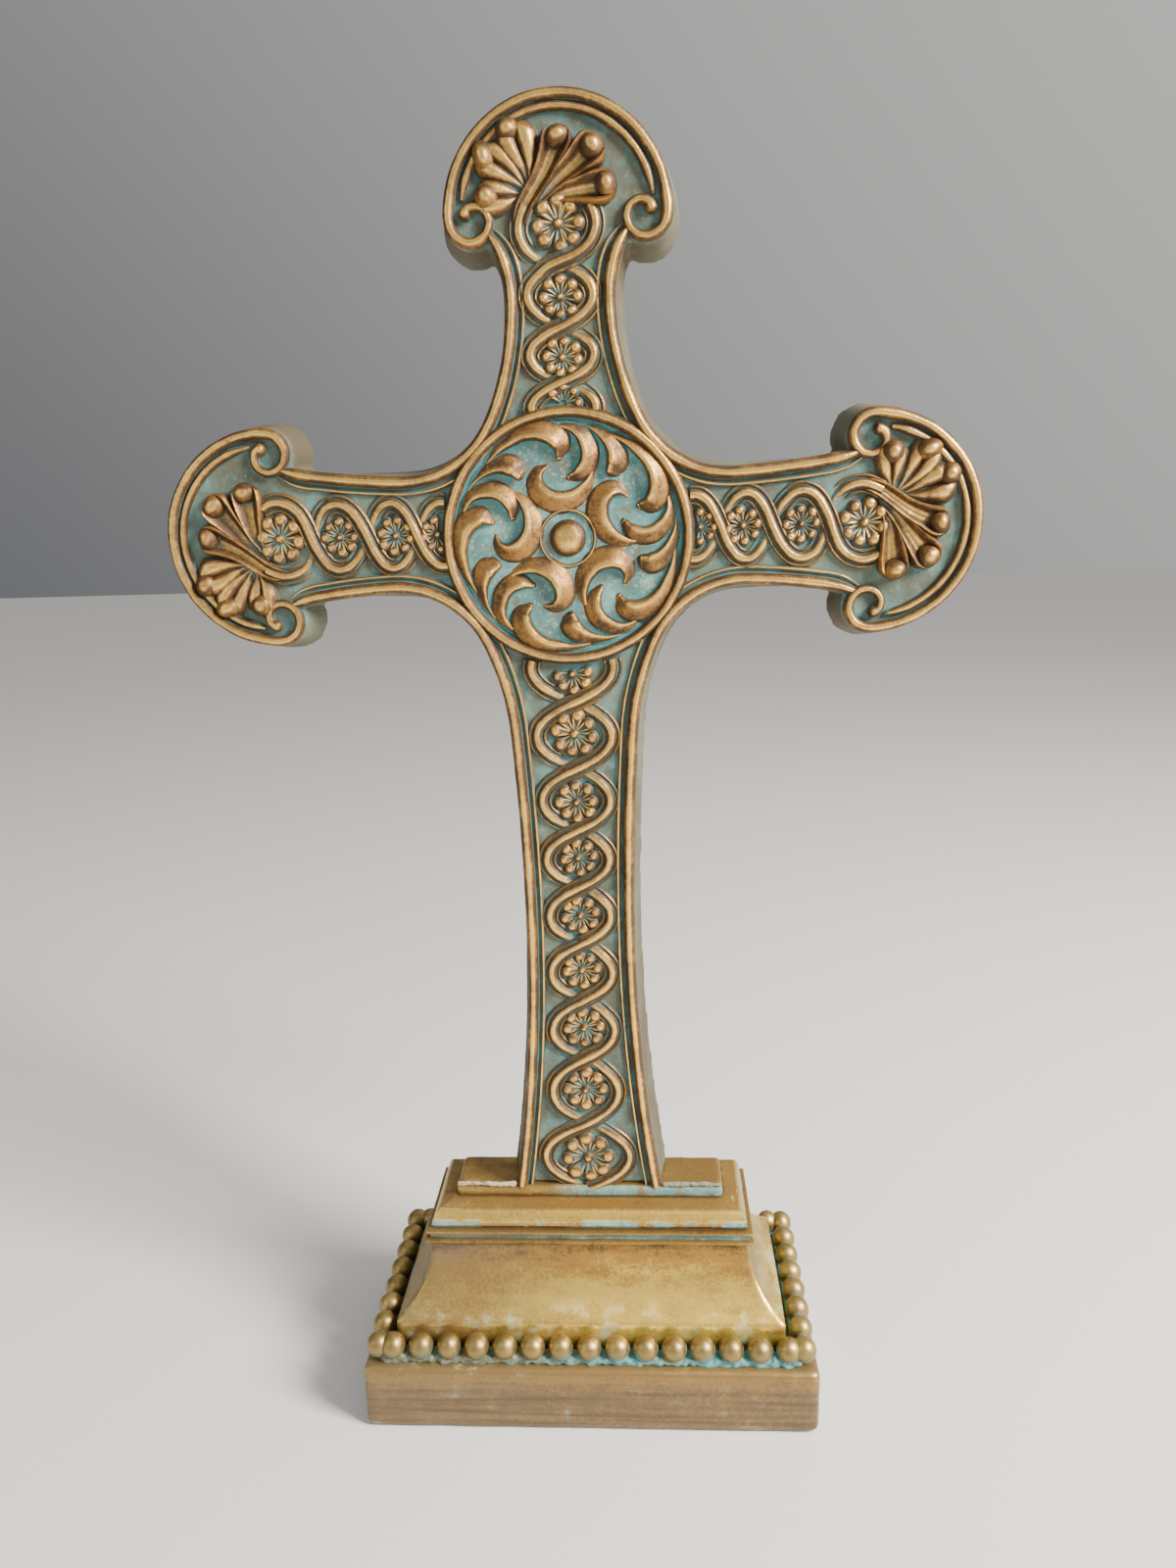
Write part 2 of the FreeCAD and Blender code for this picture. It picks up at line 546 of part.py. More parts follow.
def build_medallion():
    field = "-(Sizes.cross_front - Sizes.field_depth)"
    disc = turned("Part::Cylinder", "Disc", "Sizes.ring_radius - Sizes.ring_width", field, "Sizes.disc_thick")
    publish(disc, "medallion_disc")
    roll = doc.addObject("Part::Torus", "Roll")
    roll.Placement = Placement(Vector(0, 0, 0), Rotation(Vector(1, 0, 0), 90))
    roll.setExpression("Radius1", "Sizes.ring_radius - Sizes.ring_width / 2")
    roll.setExpression("Radius2", "Sizes.ring_width / 2")
    roll.setExpression("Placement.Base.z", "Sizes.medallion_rise")
    roll.setExpression("Placement.Base.y", f"{field} - Sizes.ring_relief + Sizes.ring_width / 2")
    front = turned("Part::Cylinder", "FrontOfField", "Sizes.ring_radius + 1", field, "Sizes.cross_front")
    ring = doc.addObject("Part::Common", "Ring")
    ring.Base, ring.Tool = roll, front
    publish(ring, "medallion_ring")
    dome = "((Sizes.boss_radius ^ 2 + Sizes.boss_relief ^ 2) / (2 * Sizes.boss_relief))"
    ball = turned("Part::Sphere", "Ball", dome, f"{field} - Sizes.disc_thick - Sizes.boss_relief + {dome}")
    cup = turned("Part::Cylinder", "Cup", "Sizes.boss_radius + 1", f"{field} - Sizes.disc_thick",
                 "Sizes.boss_relief + 1")
    boss = doc.addObject("Part::Common", "Boss")
    boss.Base, boss.Tool = ball, cup
    publish(boss, "medallion_boss")
    feature("medallion_scrolls", Part.Compound(whirl_scrolls()))


# ---------------------------------------------------------------- relief in front of the field

def field_front():
    return -(size("cross_front") - size("field_depth"))


def raised(face, relief, start=None):
    """A face drawn in X and Z, set at the field and thickened towards the front."""
    face.translate(Vector(0, field_front() if start is None else start, 0))
    return face.extrude(Vector(0, -relief, 0))


def flat_disc(across, rise, radius):
    circle = Part.Circle(Vector(across, 0, rise), Vector(0, -1, 0), radius)
    return Part.Face(Part.Wire([circle.toShape()]))


def polar(centre, radius, degrees):
    return Vector(centre[0] + radius * math.sin(math.radians(degrees)), 0,
                  centre[1] + radius * math.cos(math.radians(degrees)))


def arc_band(centre, inner, outer, start, end):
    """A flat band along a circle, between two bearings taken clockwise from straight up."""
    middle = (start + end) / 2
    outside = Part.Arc(*(polar(centre, outer, turn) for turn in (start, middle, end))).toShape()
    inside = Part.Arc(*(polar(centre, inner, turn) for turn in (end, middle, start))).toShape()
    ends = [Part.makeLine(outside.Vertexes[-1].Point, inside.Vertexes[0].Point),
            Part.makeLine(inside.Vertexes[-1].Point, outside.Vertexes[0].Point)]
    return Part.Face(Part.Wire([outside, ends[0], inside, ends[1]]))


def on_arm(shape, turn, rise):
    """Turns a shape drawn on an upright arm about the front axis and lifts it into place."""
    shape.Placement = Placement(Vector(0, 0, size(rise)), Rotation(Vector(0, 1, 0), turn))
    return shape


def whirl_scrolls():
    """Five hooked scrolls and the five leaves between them and the ring, each one solid."""
    start = field_front() - size("disc_thick")
    solids = []
    for index in range(WHIRL_COUNT):
        for (distance, *band), share in ((HOOK, 1.0), (LEAF, 0.8)):
            solid = raised(arc_band((0, distance), *band), size("scroll_relief") * share, start)
            solids.append(on_arm(solid, index * 360 / WHIRL_COUNT, "medallion_rise"))
    return solids


def ring_cutter():
    return Part.makeCylinder(size("ring_radius"), 4 * size("cross_front"), Vector(0, 0, size("medallion_rise")),
                             Vector(0, -1, 0))


def strand(eyes, first_side):
    """One strand of the guilloche: a band that swings from side to side, once for each eye."""
    swing = size("strand_width") / 2
    centre = []
    for index in range(len(eyes) - 1):
        (start, half), (end, _) = eyes[index], eyes[index + 1]
        side = first_side * (-1) ** index
        for step in range(8):
            share = step / 8
            centre.append(Vector(side * (half - swing) * math.sin(math.pi * share), 0,
                                 start + (end - start) * share))
    centre.append(Vector(0, 0, eyes[-1][0]))
    line = Part.BSplineCurve()
    line.interpolate(centre)
    samples = []
    for index in range(len(centre)):
        at = line.parameter(centre[index])
        along = Vector(*line.tangent(at)[0])
        samples.append((centre[index], Vector(-along.z, 0, along.x).normalize() * swing))
    rails = []
    for side in (-1, 1):
        rail = Part.BSplineCurve()
        rail.interpolate([point + normal * side for point, normal in samples])
        rails.append(rail.toShape())
    caps = [Part.makeLine(rails[0].valueAt(rails[0].LastParameter), rails[1].valueAt(rails[1].LastParameter)),
            Part.makeLine(rails[1].valueAt(rails[1].FirstParameter), rails[0].valueAt(rails[0].FirstParameter))]
    outline = Part.Wire(Part.__sortEdges__([rails[0], caps[0], rails[1], caps[1]]))
    return raised(Part.Face(outline), size("strand_relief"))


def rosette(distance, radius):
    """Round petals about a raised eye, as one solid."""
    core = raised(flat_disc(0, distance, radius * 0.55), size("rosette_relief") * 0.8)
    petals = []
    for index in range(PETAL_COUNT):
        tip = polar((0, distance), radius * 0.72, (index + 0.5) * 360 / PETAL_COUNT)
        petals.append(raised(flat_disc(tip.x, tip.z, radius * 0.27), size("rosette_relief")))
    eye = raised(flat_disc(0, distance, radius * 0.18), size("rosette_relief") * 1.3)
    return core.multiFuse(petals + [eye]).removeSplitter()


def palmette():
    """A fan of stems that spring from the end of the guilloche, each with a bulb at its tip
    that stays clear of the lobe's rim."""
    root = size("palmette_root")
    limit = size("lobe_radius") - size("palmette_gap")
    stems = []
    for bearing in STEM_BEARINGS:
        reach = 0.0
        while polar((0, root), reach, bearing).sub(Vector(0, 0, size("lobe_reach"))).Length < limit:
            reach += 0.1
        tip = polar((0, root), reach, bearing)
        foot = Vector(0, 0, root)
        side = Vector(tip.z - root, 0, -tip.x).normalize()
        narrow, wide = side * size("stem_foot_half"), side * size("stem_half")
        stem = Part.makePolygon([foot - narrow, tip - wide, tip + wide, foot + narrow, foot - narrow])
        stems.append(raised(Part.Face(stem), size("palmette_relief") * 0.7))
        stems.append(raised(flat_disc(tip.x, tip.z, size("bulb_radius")), size("palmette_relief")))
    return stems[0].multiFuse(stems[1:]).removeSplitter()


def build_relief():
    cutter = ring_cutter()
    twists = {}
    for name, turn, rise, rosettes, eyes in ARMS:
        pair = [on_arm(strand(eyes, side), turn, rise) for side in (-1, 1)]
        twist = pair[0].fuse(pair[1]).removeSplitter().cut(cutter)
        if name == "lower":
            below = Part.makeBox(200, 200, 100, Vector(-100, -100, size("block_top") - 100))
            twist = twist.cut(below)
        flowers = [on_arm(rosette(*flower), turn, rise).cut(cutter) for flower in rosettes]
        seats = [on_arm(raised(flat_disc(0, distance, radius + 0.1), 2 * size("strand_relief")), turn, rise)
                 for distance, radius in rosettes]
        twist = twist.cut(seats)
        twists[name] = feature(f"guilloche_{name}", twist).Shape
        feature(f"rosettes_{name}", Part.Compound([solid for flower in flowers for solid in flower.Solids]))
    for name, turn, rise in (("top", 0, "medallion_rise"), ("left", -90, "arm_rise"), ("right", 90, "arm_rise")):
        fan = on_arm(palmette(), turn, rise)
        if name == "top":
            fan.translate(Vector(0, 0, -size("top_lobe_drop")))
        feature(f"palmette_{name}", fan.cut(twists["upper" if name == "top" else name]))


def build_filler():
    """Two runs of hard filler that bed the cross's foot on the block."""
    front, top = -(size("base_depth") / 2 - size("block_inset")), size("block_top")
    runs = []
    for side in (-1, 1):
        ends = sorted((side * (size("foot_half") + size("filler_gap")),
                       side * (size("base_width") / 2 - size("block_inset") - size("filler_end_gap"))))
        corners = [Vector(ends[0], front, top),
                   Vector(ends[0], front + size("filler_crest"), top + size("filler_height")),
                   Vector(ends[0], front + size("filler_width"), top)]
        section = Part.makePolygon(corners + corners[:1])
        runs.append(Part.Face(section).extrude(Vector(ends[1] - ends[0], 0, 0)))
    feature("joint_filler", Part.Compound(runs))


build_edge_pieces(build_edge_band(build_cross_body()))
build_medallion()
build_relief()
build_filler()
doc.recompute()

# ---------------------------------------------------------------- checks and export

for item in doc.Objects:
    if {"Invalid", "Error"} & set(item.State):
        raise RuntimeError(f"{item.Label} did not compute")
os.makedirs("parts", exist_ok=True)
for item in parts:
    if item.Shape.isNull() or not item.Shape.isValid() or not item.Shape.Solids:
        raise RuntimeError(f"{item.Label} has no valid solid")
    item.Shape.exportStep(os.path.join("parts", f"{item.Label}.step"))
    print(item.Label, len(item.Shape.Solids), round(item.Shape.Volume, 1))
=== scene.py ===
import math
import random
from collections import namedtuple

import bpy
from mathutils import Matrix, Vector


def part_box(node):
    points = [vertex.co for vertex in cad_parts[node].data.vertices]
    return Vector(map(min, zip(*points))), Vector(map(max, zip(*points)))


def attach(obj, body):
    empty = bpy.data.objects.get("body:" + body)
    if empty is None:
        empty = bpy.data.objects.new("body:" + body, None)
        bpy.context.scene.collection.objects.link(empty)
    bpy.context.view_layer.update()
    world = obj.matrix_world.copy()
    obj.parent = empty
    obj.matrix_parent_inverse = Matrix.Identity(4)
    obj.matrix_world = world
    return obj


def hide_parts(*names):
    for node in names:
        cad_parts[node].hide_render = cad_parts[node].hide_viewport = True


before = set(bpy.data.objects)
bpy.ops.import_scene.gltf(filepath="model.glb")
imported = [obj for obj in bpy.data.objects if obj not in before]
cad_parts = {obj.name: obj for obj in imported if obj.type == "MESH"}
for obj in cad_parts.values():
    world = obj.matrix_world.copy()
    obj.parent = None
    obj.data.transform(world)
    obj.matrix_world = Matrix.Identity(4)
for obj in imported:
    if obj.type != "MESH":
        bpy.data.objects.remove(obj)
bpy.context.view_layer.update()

# An altar cross on a moulded plinth. The cross's relief is drawn flat in millimetres on an
# upright arm: x across, y outwards from the medallion's centre, z in front of the sunk field.
# Each drawing is then turned by its arm's bearing, stood up on the front and sized in metres.

MM = 0.001


def node_box(name):
    """A CAD node's lowest and highest corners, in millimetres."""
    return [[value / MM for value in corner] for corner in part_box(name)]


FIELD = node_box("medallion_disc")[1][1]
BLOCK_TOP = node_box("plinth_block")[1][2]
MEDALLION = sum(corner[2] for corner in node_box("medallion_ring")) / 2
ARM = sum(corner[2] for corner in node_box("lobe_rim_left")) / 2
RING = 33.9                # radius of the medallion ring's middle line
TOP_DROP = 1.6             # the top lobe sits this much nearer to the medallion
LOBE_REACH = 84.3          # from the medallion's centre to a lobe's centre
LOBE_RADIUS = 30.4
VOLUTE_ACROSS = 22.9       # from a lobe's middle to the eye of either volute
RELIEF = 2.4               # how far the highest gilding stands in front of the field

ARMS = {"upper": (0, MEDALLION), "right": (90, ARM), "lower": (180, MEDALLION), "left": (-90, ARM)}
LOBES = {"top": (0, MEDALLION - TOP_DROP), "right": (90, ARM), "left": (-90, ARM)}

# Each rosette's distance from the medallion's centre and its radius; each crossing of the
# strands, and how far their middle lines swing out after it.
ROSETTES = {
    "upper": [(36.0, 5.8), (47.8, 5.9), (63.0, 6.1), (81.0, 7.6)],
    "side": [(37.0, 5.4), (48.9, 5.9), (65.0, 5.8), (82.4, 7.4)],
    "lower": [(38.5, 6.4), (56.3, 7.5), (77.1, 6.9), (94.5, 6.3), (113.1, 6.4), (131.2, 6.7),
              (150.8, 7.1), (172.3, 7.7), (197.0, 9.3)],
}
CROSSINGS = {
    "upper": [(28.0, 8.8), (41.5, 8.7), (55.4, 8.8), (71.6, 10.2)],
    "side": [(28.0, 8.8), (42.8, 9.0), (57.0, 9.1), (73.7, 10.2)],
    "lower": [(26.0, 12.0), (47.0, 11.0), (67.0, 10.2), (86.0, 9.5), (104.0, 9.4), (122.5, 9.5),
              (141.5, 9.7), (161.5, 10.4), (184.5, 13.6), (208.3, 0)],
}


# ---------- the bench

def pick(*pieces):
    """Selects only these pieces."""
    bpy.ops.object.select_all(action="DESELECT")
    for piece in pieces:
        piece.select_set(True)
    bpy.context.view_layer.objects.active = pieces[0]


def joined(pieces):
    """Several pieces made one."""
    if len(pieces) > 1:
        pick(*pieces)
        bpy.ops.object.join()
    return pieces[0]


def settle(piece):
    """Puts a piece's place, turn and size into its mesh."""
    pick(piece)
    bpy.ops.object.transform_apply(location=True, rotation=True, scale=True)
    return piece


def copied(piece, matrix):
    """A copy with its own mesh, moved by the matrix."""
    pick(piece)
    bpy.ops.object.duplicate(linked=False)
    twin = bpy.context.object
    twin.matrix_world = matrix @ piece.matrix_world
    return settle(twin)


def modified(piece, kind, **settings):
    """Adds a modifier and applies it."""
    pick(piece)
    bpy.ops.object.modifier_add(type=kind)
    modifier = piece.modifiers[-1]
    for name, value in settings.items():
        setattr(modifier, name, value)
    bpy.ops.object.modifier_apply(modifier=modifier.name)
    return piece


def lumps(piece, grain, strength):
    """Uneven swells of a cast or brushed surface."""
    texture = bpy.data.textures.new("lumps", "CLOUDS")
    texture.noise_scale = grain
    texture.noise_depth = 2
    return modified(piece, "DISPLACE", texture=texture, texture_coords="GLOBAL", strength=strength,
                    mid_level=0.5)


def recast(piece, voxel, grain, strength):
    """Remakes a shell as one even skin with soft corners and slight lumps."""
    modified(piece, "REMESH", mode="VOXEL", voxel_size=voxel)
    modified(piece, "SMOOTH", factor=0.5, iterations=3)
    return lumps(piece, grain, strength)


def finished(piece, name, material, nodes, crease=60):
    """Closes seams, turns faces outwards, smooths, and hands the piece to the frame."""
    pick(piece)
    bpy.ops.object.mode_set(mode="EDIT")
    bpy.ops.mesh.select_all(action="SELECT")
    bpy.ops.mesh.remove_doubles(threshold=0.000001)
    bpy.ops.mesh.normals_make_consistent(inside=False)
    bpy.ops.object.mode_set(mode="OBJECT")
    bpy.ops.object.shade_smooth_by_angle(angle=math.radians(crease))
    piece.data.materials.clear()
    piece.data.materials.append(material)
    piece.name = name
    piece.data.name = name
    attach(piece, "root")
    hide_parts(*nodes)
    return piece


def stood_up(piece, turn, rise):
    """Turns a flat drawing by its bearing, stands it up on the front and sizes it in metres."""
    piece.matrix_world = (Matrix.Scale(MM, 4) @ Matrix.Translation((0, FIELD, rise))
                          @ Matrix.Rotation(math.radians(90), 4, "X")
                          @ Matrix.Rotation(math.radians(-turn), 4, "Z"))
    return settle(piece)


def profile(name, points):
    """A closed section to sweep: x to the right of the way along, y up."""
    curve = bpy.data.curves.new(name, "CURVE")
    curve.dimensions = "2D"
    spline = curve.splines.new("POLY")
    spline.points.add(len(points) - 1)
    for knot, (x, y) in zip(spline.points, points):
        knot.co = (x, y, 0, 1)
    spline.use_cyclic_u = True
    piece = bpy.data.objects.new(name, curve)
    bpy.context.collection.objects.link(piece)
    return piece


def roll(half, height, sides=10, foot=-0.4, power=0.8):
    """Points of a rounded roll of that half width and height."""
    turns = [math.pi * step / sides for step in range(sides + 1)]
    crest = [(-half * math.cos(turn), height * math.sin(turn) ** power) for turn in turns]
    return [(-half, foot)] + crest + [(half, foot)]


def swept(points, section, closed=False, resolution=5):
    """Sweeps a section along a smooth flat line. A point is (x, y), (x, y, size) or
    (x, y, size, lift)."""
    curve = bpy.data.curves.new("swept", "CURVE")
    curve.dimensions = "3D"
    curve.twist_mode = "Z_UP"
    curve.resolution_u = resolution
    curve.bevel_mode = "OBJECT"
    curve.bevel_object = section
    curve.use_fill_caps = not closed
    spline = curve.splines.new("BEZIER")
    spline.radius_interpolation = "CARDINAL"
    spline.bezier_points.add(len(points) - 1)
    for knot, point in zip(spline.bezier_points, points):
        x, y, size, lift = (list(point) + [1.0, 0.0][len(point) - 2:])[:4]
        knot.co = (x, y, lift)
        knot.radius = size
        knot.handle_left_type = "AUTO"
        knot.handle_right_type = "AUTO"
    spline.use_cyclic_u = closed
    piece = bpy.data.objects.new("swept", curve)
    bpy.context.collection.objects.link(piece)
    pick(piece)
    bpy.ops.object.convert(target="MESH")
    return bpy.context.object


def rounded(points):
    """Adds a rounded end to a line of (x, y, size) whose section is as wide as 2 sizes."""
    (x0, y0, *_), (x1, y1, size, *lift) = points[-2], points[-1]
    run = math.hypot(x1 - x0, y1 - y0)
    along = ((x1 - x0) / run, (y1 - y0) / run)
    ends = [(x1 + along[0] * size * far, y1 + along[1] * size * far, size * share, *lift)
            for far, share in ((0.5, 0.86), (0.85, 0.5), (0.98, 0.1))]
    return list(points) + ends


def dome(x, y, across, along, height, lean=0, sides=24, rings=12):
    """A boss: a ball pressed to an oval, half sunk in the field."""
    bpy.ops.object.select_all(action="DESELECT")
    bpy.ops.mesh.primitive_uv_sphere_add(segments=sides, ring_count=rings, radius=1,
                                         location=(x, y, 0), rotation=(0, 0, math.radians(-lean)),
                                         scale=(across, along, height))
    return settle(bpy.context.object)


def bearing(centre, radius, degrees):
    """A point at a bearing taken clockwise from straight up."""
    turn = math.radians(degrees)
    return centre[0] + radius * math.sin(turn), centre[1] + radius * math.cos(turn)


def raised_roll(name, width, height, foot=-0.4, power=0.8):
    """A roll section for rims, with its crown stretched but its foot left alone."""
    plain = roll(1.0, 1.0, foot=foot, power=power)
    return profile(name, [(x * width, y * height if y > 0 else y) for x, y in plain])


INNER_ROLL = raised_roll("inner_roll", 1.3, 1.9)
RIM_ROLL = raised_roll("rim_roll", 1.12, 1.75, power=0.7)
EYE_ROLL = profile("eye_roll", [(x, y * 2.6) for x, y in roll(1.0, 1.0, foot=-0.2)])
RING_ROLL = profile("ring_roll", roll(1.75, 2.7, 14, power=0.8))
STRAND = profile("strand", [
    (-2.8, -0.8), (-2.75, 0.4), (-2.55, 0.95), (-2.2, 1.2), (-1.88, 1.0), (-1.7, 0.5), (-1.6, 0.45),
    (-1.45, 0.85), (-1.2, 1.4), (-0.7, 1.85), (0, 2.0), (0.7, 1.85), (1.2, 1.4), (1.45, 0.85), (1.6, 0.45),
    (1.7, 0.5), (1.88, 1.0), (2.2, 1.2), (2.55, 0.95), (2.75, 0.4), (2.8, -0.8)])
EDGE = profile("edge", [
    (-5.3, -0.4), (-5.2, 0.5), (-4.95, 1.0), (-4.6, 1.15), (-4.25, 0.95), (-4.05, 0.35), (-3.45, 0.1),
    (-3.15, 0.5), (-3.0, 1.3), (-2.6, 2.15), (-2.0, 2.6), (-1.4, 2.72), (-0.8, 2.55), (-0.2, 2.0), (0.2, 1.1),
    (0.4, 0.0), (0.4, -0.8)])
LEAF = profile("leaf", [
    (-1.5, -0.3), (-1.45, 0.1), (-1.3, 0.32), (-1.0, 0.5), (-0.6, 0.72), (-0.2, 0.96), (0.15, 1.16),
    (0.42, 1.25), (0.62, 1.18), (0.76, 0.9), (0.86, 0.4), (0.92, -0.3)])
TRUMPET = profile("trumpet", [
    (-1.1, -1.0), (-1.08, 0.1), (-1.0, 0.52), (-0.86, 0.68), (-0.7, 0.56), (-0.55, 0.22), (-0.3, 0.02),
    (0.0, -0.06), (0.3, 0.02), (0.55, 0.22), (0.7, 0.56), (0.86, 0.68), (1.0, 0.52), (1.08, 0.1), (1.1, -1.0)])
FAN = profile("fan", [
    (-1.0, -0.8), (-0.98, -0.05), (-0.9, 0.2), (-0.68, 0.42), (-0.38, 0.52), (-0.14, 0.44), (0.0, 0.26),
    (0.14, 0.44), (0.38, 0.52), (0.68, 0.42), (0.9, 0.2), (0.98, -0.05), (1.0, -0.8)])
PETAL = profile("petal", [
    (-0.28, -0.6), (-0.275, 0.7), (-0.25, 1.3), (-0.2, 1.6), (-0.14, 1.55), (-0.09, 1.25), (-0.04, 0.85),
    (0.0, 0.65), (0.04, 0.85), (0.09, 1.25), (0.14, 1.55), (0.2, 1.6), (0.25, 1.3), (0.275, 0.7), (0.28, -0.6)])


# ---------- outline of the cross

def arc_between(start, end, radius, side):
    """Points of the shorter arc that bulges to the left or right of the way."""
    start, end = Vector(start), Vector(end)
    chord = end - start
    half = chord.length / 2
    sign = 1 if side == "left" else -1
    inward = Vector((chord.y, -chord.x)).normalized() * sign
    centre = (start + end) / 2 + inward * math.sqrt(max(radius ** 2 - half ** 2, 0))
    first, last = start - centre, end - centre
    sweep = 2 * math.asin(min(1, half / radius)) * -sign
    count = max(2, round(abs(sweep) * radius / 4))
    turned = [Matrix.Rotation(sweep * step / count, 2) @ first for step in range(count)]
    return [tuple(centre + point) for point in turned]


def edge_line(corners):
    """A line through corners of (x, y, radius, side of bulge)."""
    line = []
    for (x, y, radius, side), (end_x, end_y, *_) in zip(corners, corners[1:]):
        line += arc_between((x, y), (end_x, end_y), radius, side)
    return line + [corners[-1][:2]]


# Right-hand edges, from the foot to the right arm's scroll and from there to the top one's.
LOWER_EDGE = [(23.4, BLOCK_TOP, 595, "left"), (16.4, 160.0, 818, "left"),
              (18.6, MEDALLION - 55.5, 74.4, "left"), (25.4, MEDALLION - 29.5, 27, "left"),
              (49.9, ARM - 15.9, 157, "left"), (81.6, ARM - 19.9, 0, "")]
UPPER_EDGE = [(81.6, ARM + 19.9, 234, "left"), (45.6, ARM + 15.9, 27, "left"),
              (21.16, MEDALLION + 33.5, 70, "left"), (14.6, MEDALLION + 63.1, 32.5, "left"),
              (19.9, MEDALLION - TOP_DROP + 81.6, 0, "")]


def edge_moulding(corners, left):
    """An edge's moulding, with its ends tucked under the scrolls."""
    line = [(x, y, 1.0) for x, y in edge_line(corners)]
    tucked = [(-1, 0.5), (-2, 0.85)] + ([(0, 0.5), (1, 0.85)] if corners is UPPER_EDGE else [])
    for index, size in tucked:
        line[index] = (*line[index][:2], size)
    if left:
        line = [(-x, y, size) for x, y, size in reversed(line)]
    return swept(line, EDGE, resolution=3)


# ---------- relief, drawn flat

# A volute from neck to head: (degrees round its eye, distance from the eye, size of the roll).
CURL = [(30, 5.95, 1.4), (60, 5.8, 1.38), (90, 5.6, 1.34), (125, 5.3, 1.28), (160, 4.9, 1.2),
        (195, 4.4, 1.15), (230, 3.85, 1.15), (265, 3.2, 1.25), (300, 2.6, 1.4), (330, 2.1, 1.5)]


def scroll_line(side):
    """The rim's way from the top of a lobe down into one volute, with its size."""
    line = [(*bearing((0, 0), LOBE_RADIUS - 1.45, 9 * step), 1.42) for step in range(11)]
    line += [(*bearing((VOLUTE_ACROSS, 0), out, 90 + turn), size) for turn, out, size in CURL]
    return [(x * side, y, size) for x, y, size in rounded(line)]


def lobe_rim():
    """Rounded rim of a lobe: a thick roll that curls into two volutes, and a thin roll inside."""
    inner = [(*bearing((0, 0.4), 25.6, turn), min(1, 0.3 + (84 - abs(turn)) / 16))
             for turn in range(-80, 81, 10)]
    return joined([swept(scroll_line(side), RIM_ROLL, resolution=4) for side in (1, -1)]
                  + [swept(rounded(inner), INNER_ROLL, resolution=4)])


OVER, UNDER = 0.25, -1.7   # how far a strand rises and dips where it meets the other


def strand_lines(crossings, ends):
    """The two strands of a guilloche. Left to right passes over the other."""
    lines = []
    for side in (1, -1):
        line = []
        for index, ((start, swing), (end, _)) in enumerate(zip(crossings, crossings[1:])):
            way = side * (-1) ** index
            count = max(8, round((end - start) / 1.7))
            for step in range(count):
                share = step / count
                out = start + (end - start) * (share - 0.035 * math.sin(2 * math.pi * share))
                line.append((way * swing * math.sin(math.pi * share), out))
        tail = ends[way]
        if len(tail) > 1:
            line = [(x, y) for x, y in line if y < tail[0][1] - 1.0]
        line = [(x, y) for x, y in line + tail if y > RING - 1.2]
        points = []
        for x, y in line:
            lift = 0.0
            for index, (crossing, _) in enumerate(crossings):
                near = math.exp(-((y - crossing) / 3.0) ** 2)
                lift += near * (OVER if side * (-1) ** index > 0 else UNDER)
            points.append((x, y, 1.0, lift))
        lines.append(points)
    return lines


def petal_model():
    """One petal, 1 long from the rosette's middle: a grooved stalk with a plump rounded end."""
    line = [(0, 0.16, 0.3), (0, 0.32, 0.48), (0, 0.5, 0.7), (0, 0.66, 0.86), (0, 0.78, 0.8), (0, 0.86, 0.5)]
    lip = dome(0, 0.73, 0.31, 0.28, 1.85, sides=16, rings=10)
    return joined([swept(line, PETAL, resolution=2), lip])


def rosettes(places, petal, ball, seed):
    """Rosettes along an arm. Petals behind the medallion's ring stay off."""
    chance = random.Random(seed)
    parts = []
    for distance, radius in places:
        spin = chance.uniform(-14, 14)
        for step in range(8):
            turn = spin + 45 * step + chance.uniform(-3, 3)
            tip = bearing((0, distance), radius * 0.8, turn)
            if math.hypot(*tip) < RING + 2.2:
                continue
            size = radius * chance.uniform(0.95, 1.03)
            place = (Matrix.Translation((0, distance, 0)) @ Matrix.Rotation(math.radians(-turn), 4, "Z")
                     @ Matrix.Diagonal((size, size, 1, 1)))
            parts.append(copied(petal, place))
        if distance > RING + 3:
            place = Matrix.Translation((0, distance, 0)) @ Matrix.Diagonal((radius, radius, 1, 1))
            parts.append(copied(ball, place))
    return joined(parts)


# One whorl of the medallion: four comma-shaped leaves of (x, y, width), from tail to head.
WHORL = [
    [(-25.6, 15.6, 0.3), (-21.6, 21.6, 1.5), (-16.1, 26.2, 3.2), (-9.8, 28.8, 4.5), (-4.5, 28.0, 5.0),
     (-1.6, 25.1, 4.4), (-1.6, 22.0, 2.3)],
    [(-8.0, 30.9, 0.3), (-1.6, 30.5, 1.5), (2.9, 29.1, 2.7), (5.6, 25.7, 3.8), (6.2, 21.4, 4.1),
     (4.0, 17.7, 3.8), (1.2, 16.4, 2.3)],
    [(8.9, 21.8, 0.3), (7.7, 17.9, 1.6), (5.4, 13.9, 3.3), (0.8, 10.9, 4.6), (-4.0, 10.9, 5.1),
     (-7.7, 14.0, 4.6), (-7.7, 17.7, 3.1), (-5.1, 20.0, 1.3)],
    [(0.8, 31.2, 0.3), (6.6, 30.0, 1.3), (10.6, 27.2, 2.6), (13.0, 24.1, 3.8), (13.8, 20.4, 4.7),
     (12.9, 18.1, 3.6)],
]
LEAF_SIZE = 0.59           # size of the leaf's section for each millimetre of a leaf's width


def whorl():
    """One whorl's leaves as one mesh."""
    return joined([swept(rounded([(x, y, width * LEAF_SIZE) for x, y, width in leaf]), LEAF, resolution=7)
                   for leaf in WHORL])


